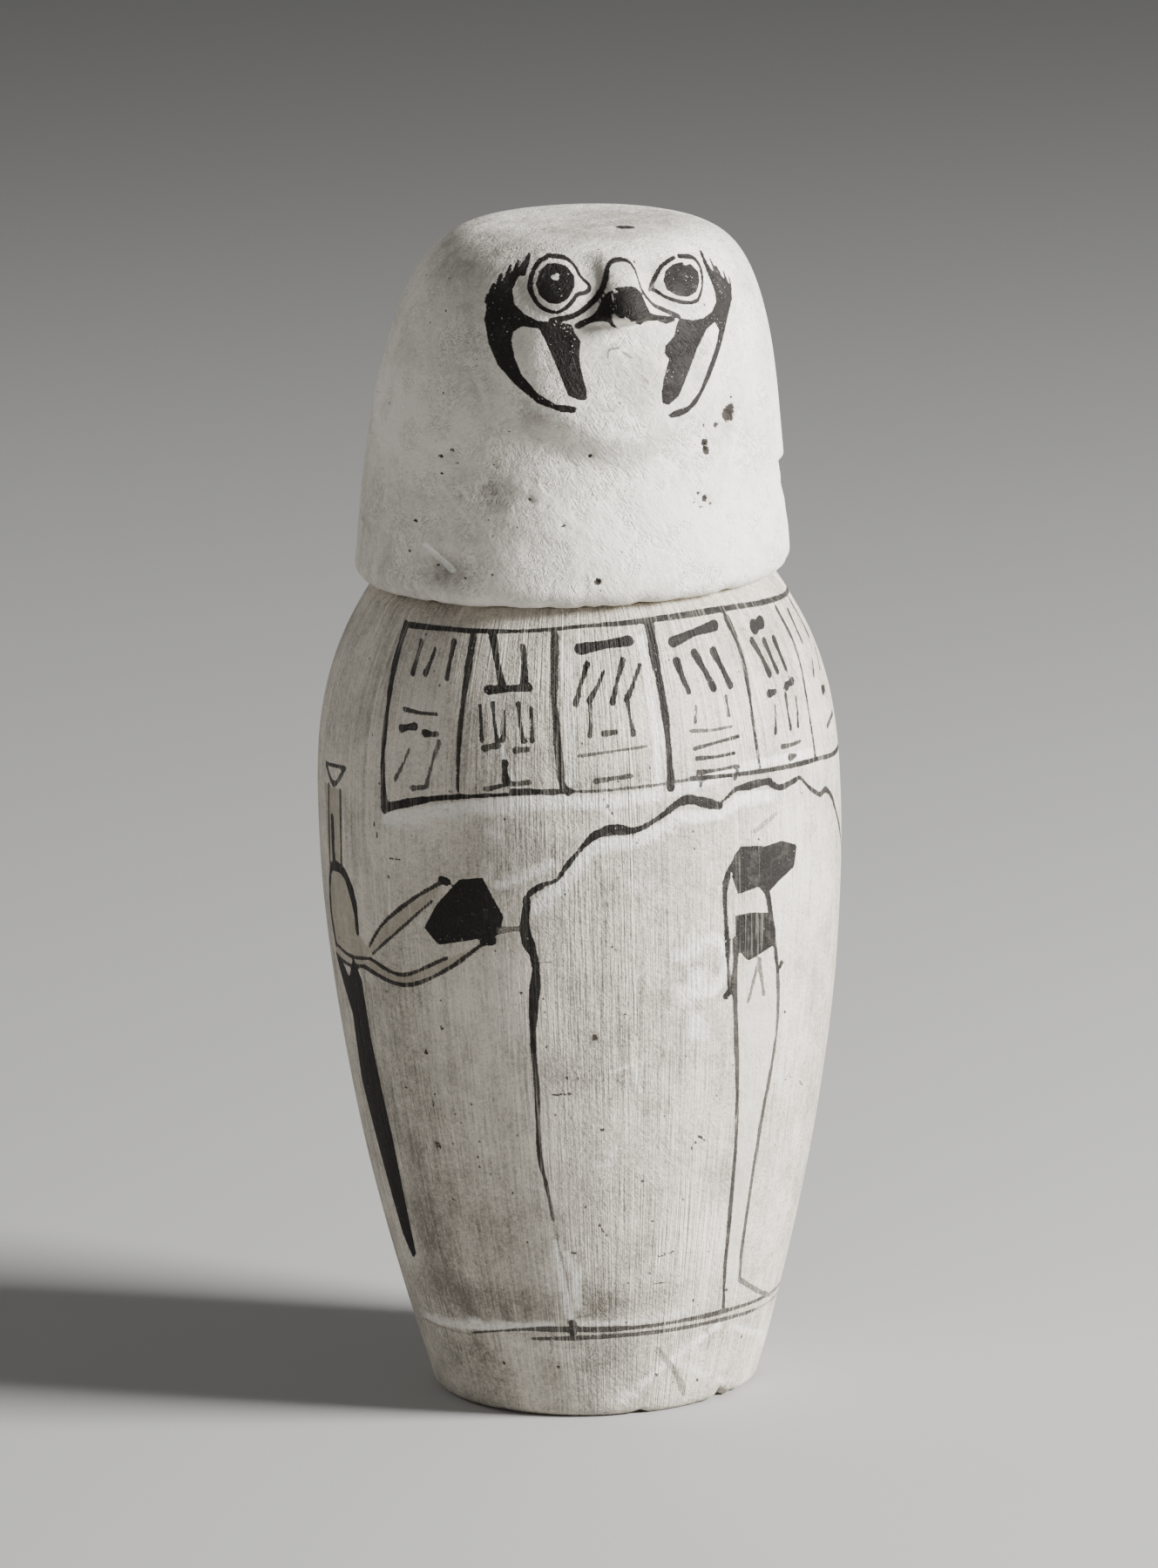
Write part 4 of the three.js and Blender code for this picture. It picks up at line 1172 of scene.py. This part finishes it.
def paintedLimestone(name, look):
    stone = bpy.data.materials.new(name)
    stone.use_nodes = True
    tree = stone.node_tree
    tree.nodes.clear()

    def feed(socket, value):
        if isinstance(value, bpy.types.NodeSocket):
            tree.links.new(value, socket)
        else:
            socket.default_value = value

    def node(kind, **inputs):
        made = tree.nodes.new(kind)
        for key, value in inputs.items():
            feed(made.inputs[key.replace("_", " ")], value)
        return made

    def maths(operation, first, second=0.0, third=0.0):
        made = tree.nodes.new("ShaderNodeMath")
        made.operation = operation
        for socket, value in zip(made.inputs, (first, second, third)):
            feed(socket, value)
        return made.outputs[0]

    def noise(place, scale, detail=3.0, roughness=0.55):
        made = node("ShaderNodeTexNoise", Vector=place, Scale=scale, Detail=detail, Roughness=roughness)
        return made.outputs["Fac"]

    def between(value, low, high, toLow=0.0, toHigh=1.0):
        made = node("ShaderNodeMapRange", Value=value)
        made.interpolation_type = "SMOOTHSTEP"
        for key, number in (("From Min", low), ("From Max", high), ("To Min", toLow), ("To Max", toHigh)):
            made.inputs[key].default_value = number
        return made.outputs["Result"]

    def blend(amount, first, second):
        made = tree.nodes.new("ShaderNodeMix")
        made.data_type = "RGBA"
        for socket, value in ((made.inputs[0], amount), (made.inputs[6], first), (made.inputs[7], second)):
            feed(socket, value)
        return made.outputs[2]

    def attribute(attributeName, output="Fac"):
        made = tree.nodes.new("ShaderNodeAttribute")
        made.attribute_name = attributeName
        return made.outputs[output]

    def stretched(place, scale, turn=(0, 0, 0)):
        made = node("ShaderNodeMapping", Vector=place)
        made.vector_type = "TEXTURE"      # turns first, then stretches
        made.inputs["Rotation"].default_value = turn
        made.inputs["Scale"].default_value = scale
        return made.outputs["Vector"]

    def centred(value):
        return maths("SUBTRACT", value, 0.5)

    place = tree.nodes.new("ShaderNodeTexCoord").outputs["Object"]
    cloud = noise(place, 22, 3)
    mottle = noise(place, 115, 3)
    patch = noise(place, 420, 3)
    crumb = noise(place, 900, 3, 0.6)
    grain = noise(place, 1900, 3, 0.65)
    wash = attribute("washCover")

    # a few small round specks of dirt, one in every five cells
    cells = node("ShaderNodeTexVoronoi", Vector=place, Scale=330.0)
    chosen = node("ShaderNodeSeparateColor", Color=cells.outputs["Color"]).outputs["Red"]
    pits = between(cells.outputs["Distance"], 0.07, 0.15, 1, 0)
    pits = maths("MULTIPLY", pits, between(chosen, 0.78, 0.80))
    pits = maths("MULTIPLY", pits, between(noise(place, 60, 2), 0.46, 0.60))

    # crossing hairline scratches, each lot a thin slice of a noise that is stretched and turned
    scratches = None
    lots = [(12, (0, 0.6, 0.2)), (10, (0.3, -0.75, 0)), (14, (0.2, 1.35, 0)), (9, (-0.3, -0.35, 0.4))]
    for stretch, turn in lots:
        lot = noise(stretched(place, (1, 1, stretch), turn), 520, 1.5)
        lot = between(maths("ABSOLUTE", centred(lot)), 0.012, 0.05, 1, 0)
        lot = maths("MULTIPLY", lot, between(noise(place, 95, 1), 0.46, 0.60))
        scratches = lot if scratches is None else maths("MAXIMUM", scratches, lot)
    scratches = maths("MULTIPLY", scratches, look["scratches"])

    # short slanting marks of the tool that smoothed the stone
    slant = noise(stretched(place, (1, 1, 9), (0.1, -0.7, 0.1)), 1450, 2)
    cross = noise(stretched(place, (1, 1, 8), (0.2, 0.95, 0.2)), 1350, 2)
    tooling = blend(between(noise(place, 48, 1), 0.42, 0.58), slant, cross)
    tooling = maths("MULTIPLY", centred(tooling), look["tooling"])

    tone = maths("MULTIPLY_ADD", centred(cloud), 0.9, look["tone"])
    tone = maths("MULTIPLY_ADD", centred(mottle), 0.55, tone)
    tone = maths("MULTIPLY_ADD", centred(patch), 0.40, tone)
    tone = maths("MULTIPLY_ADD", centred(crumb), 0.65 * look["grain"], tone)
    tone = maths("MULTIPLY_ADD", centred(grain), 0.9 * look["grain"], tone)
    # stains and patina, with the painted light and shade from the tone tables
    tone = maths("MULTIPLY_ADD", attribute("toneAndPaintedLight"), 0.50, tone)
    tone = maths("MULTIPLY_ADD", scratches, 0.22, tone)
    tone = maths("MULTIPLY_ADD", tooling, 0.55, tone)

    rasp = None
    if look["rasp"]:
        flow = attribute("raspFlow", "Vector")
        fine = noise(stretched(flow, (1, 1, 26)), 1300, 2)
        broad = noise(stretched(flow, (1, 1, 50)), 520, 3)
        rasp = maths("MULTIPLY_ADD", centred(broad), 0.6, fine)
        where = between(noise(place, 30, 2), 0.30, 0.60, 0.4, 1.0)
        rasp = maths("MULTIPLY", centred(rasp), where)
        tone = maths("MULTIPLY_ADD", rasp, 0.75 * look["rasp"], tone)
        grooves = noise(stretched(flow, (1, 1, 80)), 330, 1)
        grooves = between(maths("ABSOLUTE", centred(grooves)), 0.006, 0.026, 1, 0)
        grooves = maths("MULTIPLY", grooves, between(noise(place, 26, 1), 0.48, 0.62))
        tone = maths("MULTIPLY_ADD", grooves, 0.22, tone)

    stoneColour = blend(between(tone, -0.15, 1.15), look["stoneDark"], look["stoneLight"])
    washColour = blend(attribute("washTone"), look["washDark"], look["washPale"])
    washes = maths("MULTIPLY", wash, between(patch, 0.2, 0.6, 0.45, 0.85))
    stoneColour = blend(washes, stoneColour, washColour)
    rubbed = maths("MULTIPLY", attribute("paleRub"), between(crumb, 0.25, 0.60, 0.45, 0.9))
    stoneColour = blend(rubbed, stoneColour, look["pale"])
    speck = maths("MULTIPLY_ADD", centred(noise(place, 1500, 2)), 0.9, attribute("darkSpeck"))
    speck = between(speck, 0.30, 0.50, 0, 0.97)
    speck = maths("MAXIMUM", speck, maths("MULTIPLY", pits, 0.8))
    stoneColour = blend(speck, stoneColour, look["dirt"])

    # paint edges wander a little, and the brush misses the stone's grain
    edge = attribute("blackPaint")
    edge = maths("MULTIPLY_ADD", centred(noise(place, 2600, 2)), 0.40, edge)
    edge = maths("MULTIPLY_ADD", centred(noise(place, 650, 2)), 0.30, edge)
    cover = between(edge, -0.10, 0.12, 1, 0)
    body = attribute("paintBody")
    thin = maths("SUBTRACT", 0.94, body)
    missed = between(maths("MULTIPLY_ADD", thin, 0.35, noise(place, 2100, 3, 0.7)), 0.68, 0.80, 0, 0.8)
    if rasp:
        bare = maths("MINIMUM", maths("MULTIPLY", thin, 2.0), 0.28)
        missed = maths("MAXIMUM", missed, maths("MULTIPLY", between(rasp, 0.06, 0.16), bare))
    flecks = maths("MULTIPLY_ADD", attribute("paintWear"), 0.13, noise(place, 1400, 3, 0.6))
    missed = maths("MAXIMUM", missed, between(flecks, 0.695, 0.74, 0, 0.95))
    depth = maths("SUBTRACT", 1.0, maths("POWER", maths("SUBTRACT", 1.0, body), 1.55))
    depth = maths("MULTIPLY", depth, between(noise(place, 300, 2), 0.2, 0.7, 0.98, 1.06))
    depth = maths("MULTIPLY", maths("MINIMUM", depth, 1.0), maths("SUBTRACT", 1.0, missed))
    cover = maths("MULTIPLY", cover, depth)
    colour = blend(cover, stoneColour, look["paint"])
    matt = maths("MULTIPLY_ADD", cover, -0.22, maths("MULTIPLY_ADD", centred(grain), 0.2, 0.86))

    relief = maths("MULTIPLY_ADD", crumb, 0.55, maths("MULTIPLY", grain, 0.30))
    relief = maths("MULTIPLY", relief, look["grain"])
    relief = maths("MULTIPLY_ADD", patch, 0.25, relief)
    relief = maths("MULTIPLY_ADD", tooling, 0.9, relief)
    if rasp:
        relief = maths("MULTIPLY_ADD", rasp, 1.0, relief)
        relief = maths("MULTIPLY_ADD", grooves, -0.40, relief)
        relief = maths("MULTIPLY", relief, maths("MULTIPLY_ADD", wash, -0.7, 1.0))
    relief = maths("MULTIPLY_ADD", scratches, -0.35, relief)
    relief = maths("MULTIPLY_ADD", pits, -0.8, relief)
    relief = maths("MULTIPLY_ADD", cover, -0.12, relief)
    wide = node("ShaderNodeBump", Strength=0.6, Distance=0.0014, Height=mottle)
    bump = node("ShaderNodeBump", Strength=1.0, Distance=0.0006, Height=relief,
                Normal=wide.outputs["Normal"])
    shader = node("ShaderNodeBsdfPrincipled", Roughness=matt, Normal=bump.outputs["Normal"])
    tree.links.new(colour, shader.inputs["Base Color"])
    shader.inputs["Specular IOR Level"].default_value = 0.22
    out = tree.nodes.new("ShaderNodeOutputMaterial")
    tree.links.new(shader.outputs["BSDF"], out.inputs["Surface"])
    return stone


def dress(piece, material, node):
    piece.data.materials.clear()
    piece.data.materials.append(material)
    selectOnly(piece)
    bpy.ops.object.shade_smooth_by_angle(angle=math.radians(50))
    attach(piece, "root")
    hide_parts(node)


jar = makeJar()
dress(jar, paintedLimestone("jar_limestone", jarLook), "jar")
lid = makeLid()
dress(lid, paintedLimestone("lid_limestone", lidLook), "falcon_lid")


# Floor, light and camera

studio = {
    "floorTone": (0.42, 0.415, 0.405, 1),
    "backTone": (0.60, 0.60, 0.60, 1),
    "backStrength": 0.21,
    "keyPlace": (1.60, -1.12, 1.06),
    "keySize": 0.6,
    "keyPower": 175,
    "fillPlace": (-1.6, -1.5, 0.9),
    "fillSize": 1.6,
    "fillPower": 3,
    "rimPlace": (-1.3, 1.6, 0.8),
    "rimSize": 0.8,
    "rimPower": 9,
    "azimuth": -15.7,
    "elevation": 12,
    "distance": 2500,
    "roll": 1.75,
    "aimHeight": 174,
    "lens": 201.4,
}


def makeFloor():
    bpy.ops.object.select_all(action="DESELECT")
    bpy.ops.mesh.primitive_plane_add(size=24)
    floor = bpy.context.object
    floor.name = "studio_floor"
    paper = bpy.data.materials.new("floor_paper")
    paper.use_nodes = True
    shader = paper.node_tree.nodes["Principled BSDF"]
    shader.inputs["Base Color"].default_value = studio["floorTone"]
    shader.inputs["Roughness"].default_value = 0.85
    floor.data.materials.append(paper)


def aimLight(name, place, size, power):
    lamp = bpy.data.lights.new(name, "AREA")
    lamp.size = size
    lamp.energy = power
    lampObject = bpy.data.objects.new(name, lamp)
    bpy.context.scene.collection.objects.link(lampObject)
    lampObject.location = place
    aim = Vector((0, 0, studio["aimHeight"] * mm)) - Vector(place)
    lampObject.rotation_euler = aim.to_track_quat("-Z", "Y").to_euler()


def makeCamera():
    turn, rise, roll = (math.radians(studio[k]) for k in ("azimuth", "elevation", "roll"))
    back = Vector((math.sin(turn) * math.cos(rise), -math.cos(turn) * math.cos(rise), math.sin(rise)))
    right = Vector((0, 0, 1)).cross(back).normalized()
    up = back.cross(right)
    leanRight = right * math.cos(roll) - up * math.sin(roll)
    leanUp = up * math.cos(roll) + right * math.sin(roll)
    camera = bpy.data.cameras.new("photo_camera")
    camera.lens = studio["lens"]
    camera.sensor_width = 36
    camera.clip_end = 40
    cameraObject = bpy.data.objects.new("photo_camera", camera)
    bpy.context.scene.collection.objects.link(cameraObject)
    place = Vector((0, 0, studio["aimHeight"] * mm)) + back * studio["distance"] * mm
    turned = Matrix((leanRight, leanUp, back)).transposed().to_4x4()
    cameraObject.matrix_world = Matrix.Translation(place) @ turned
    bpy.context.scene.camera = cameraObject


makeFloor()
aimLight("key_light", studio["keyPlace"], studio["keySize"], studio["keyPower"])
aimLight("fill_light", studio["fillPlace"], studio["fillSize"], studio["fillPower"])
aimLight("rim_light", studio["rimPlace"], studio["rimSize"], studio["rimPower"])
makeCamera()
room = bpy.data.worlds.new("pale_room")
room.use_nodes = True
room.node_tree.nodes["Background"].inputs["Color"].default_value = studio["backTone"]
room.node_tree.nodes["Background"].inputs["Strength"].default_value = studio["backStrength"]
bpy.context.scene.world = room
print("studio: floor, three lights and the camera")
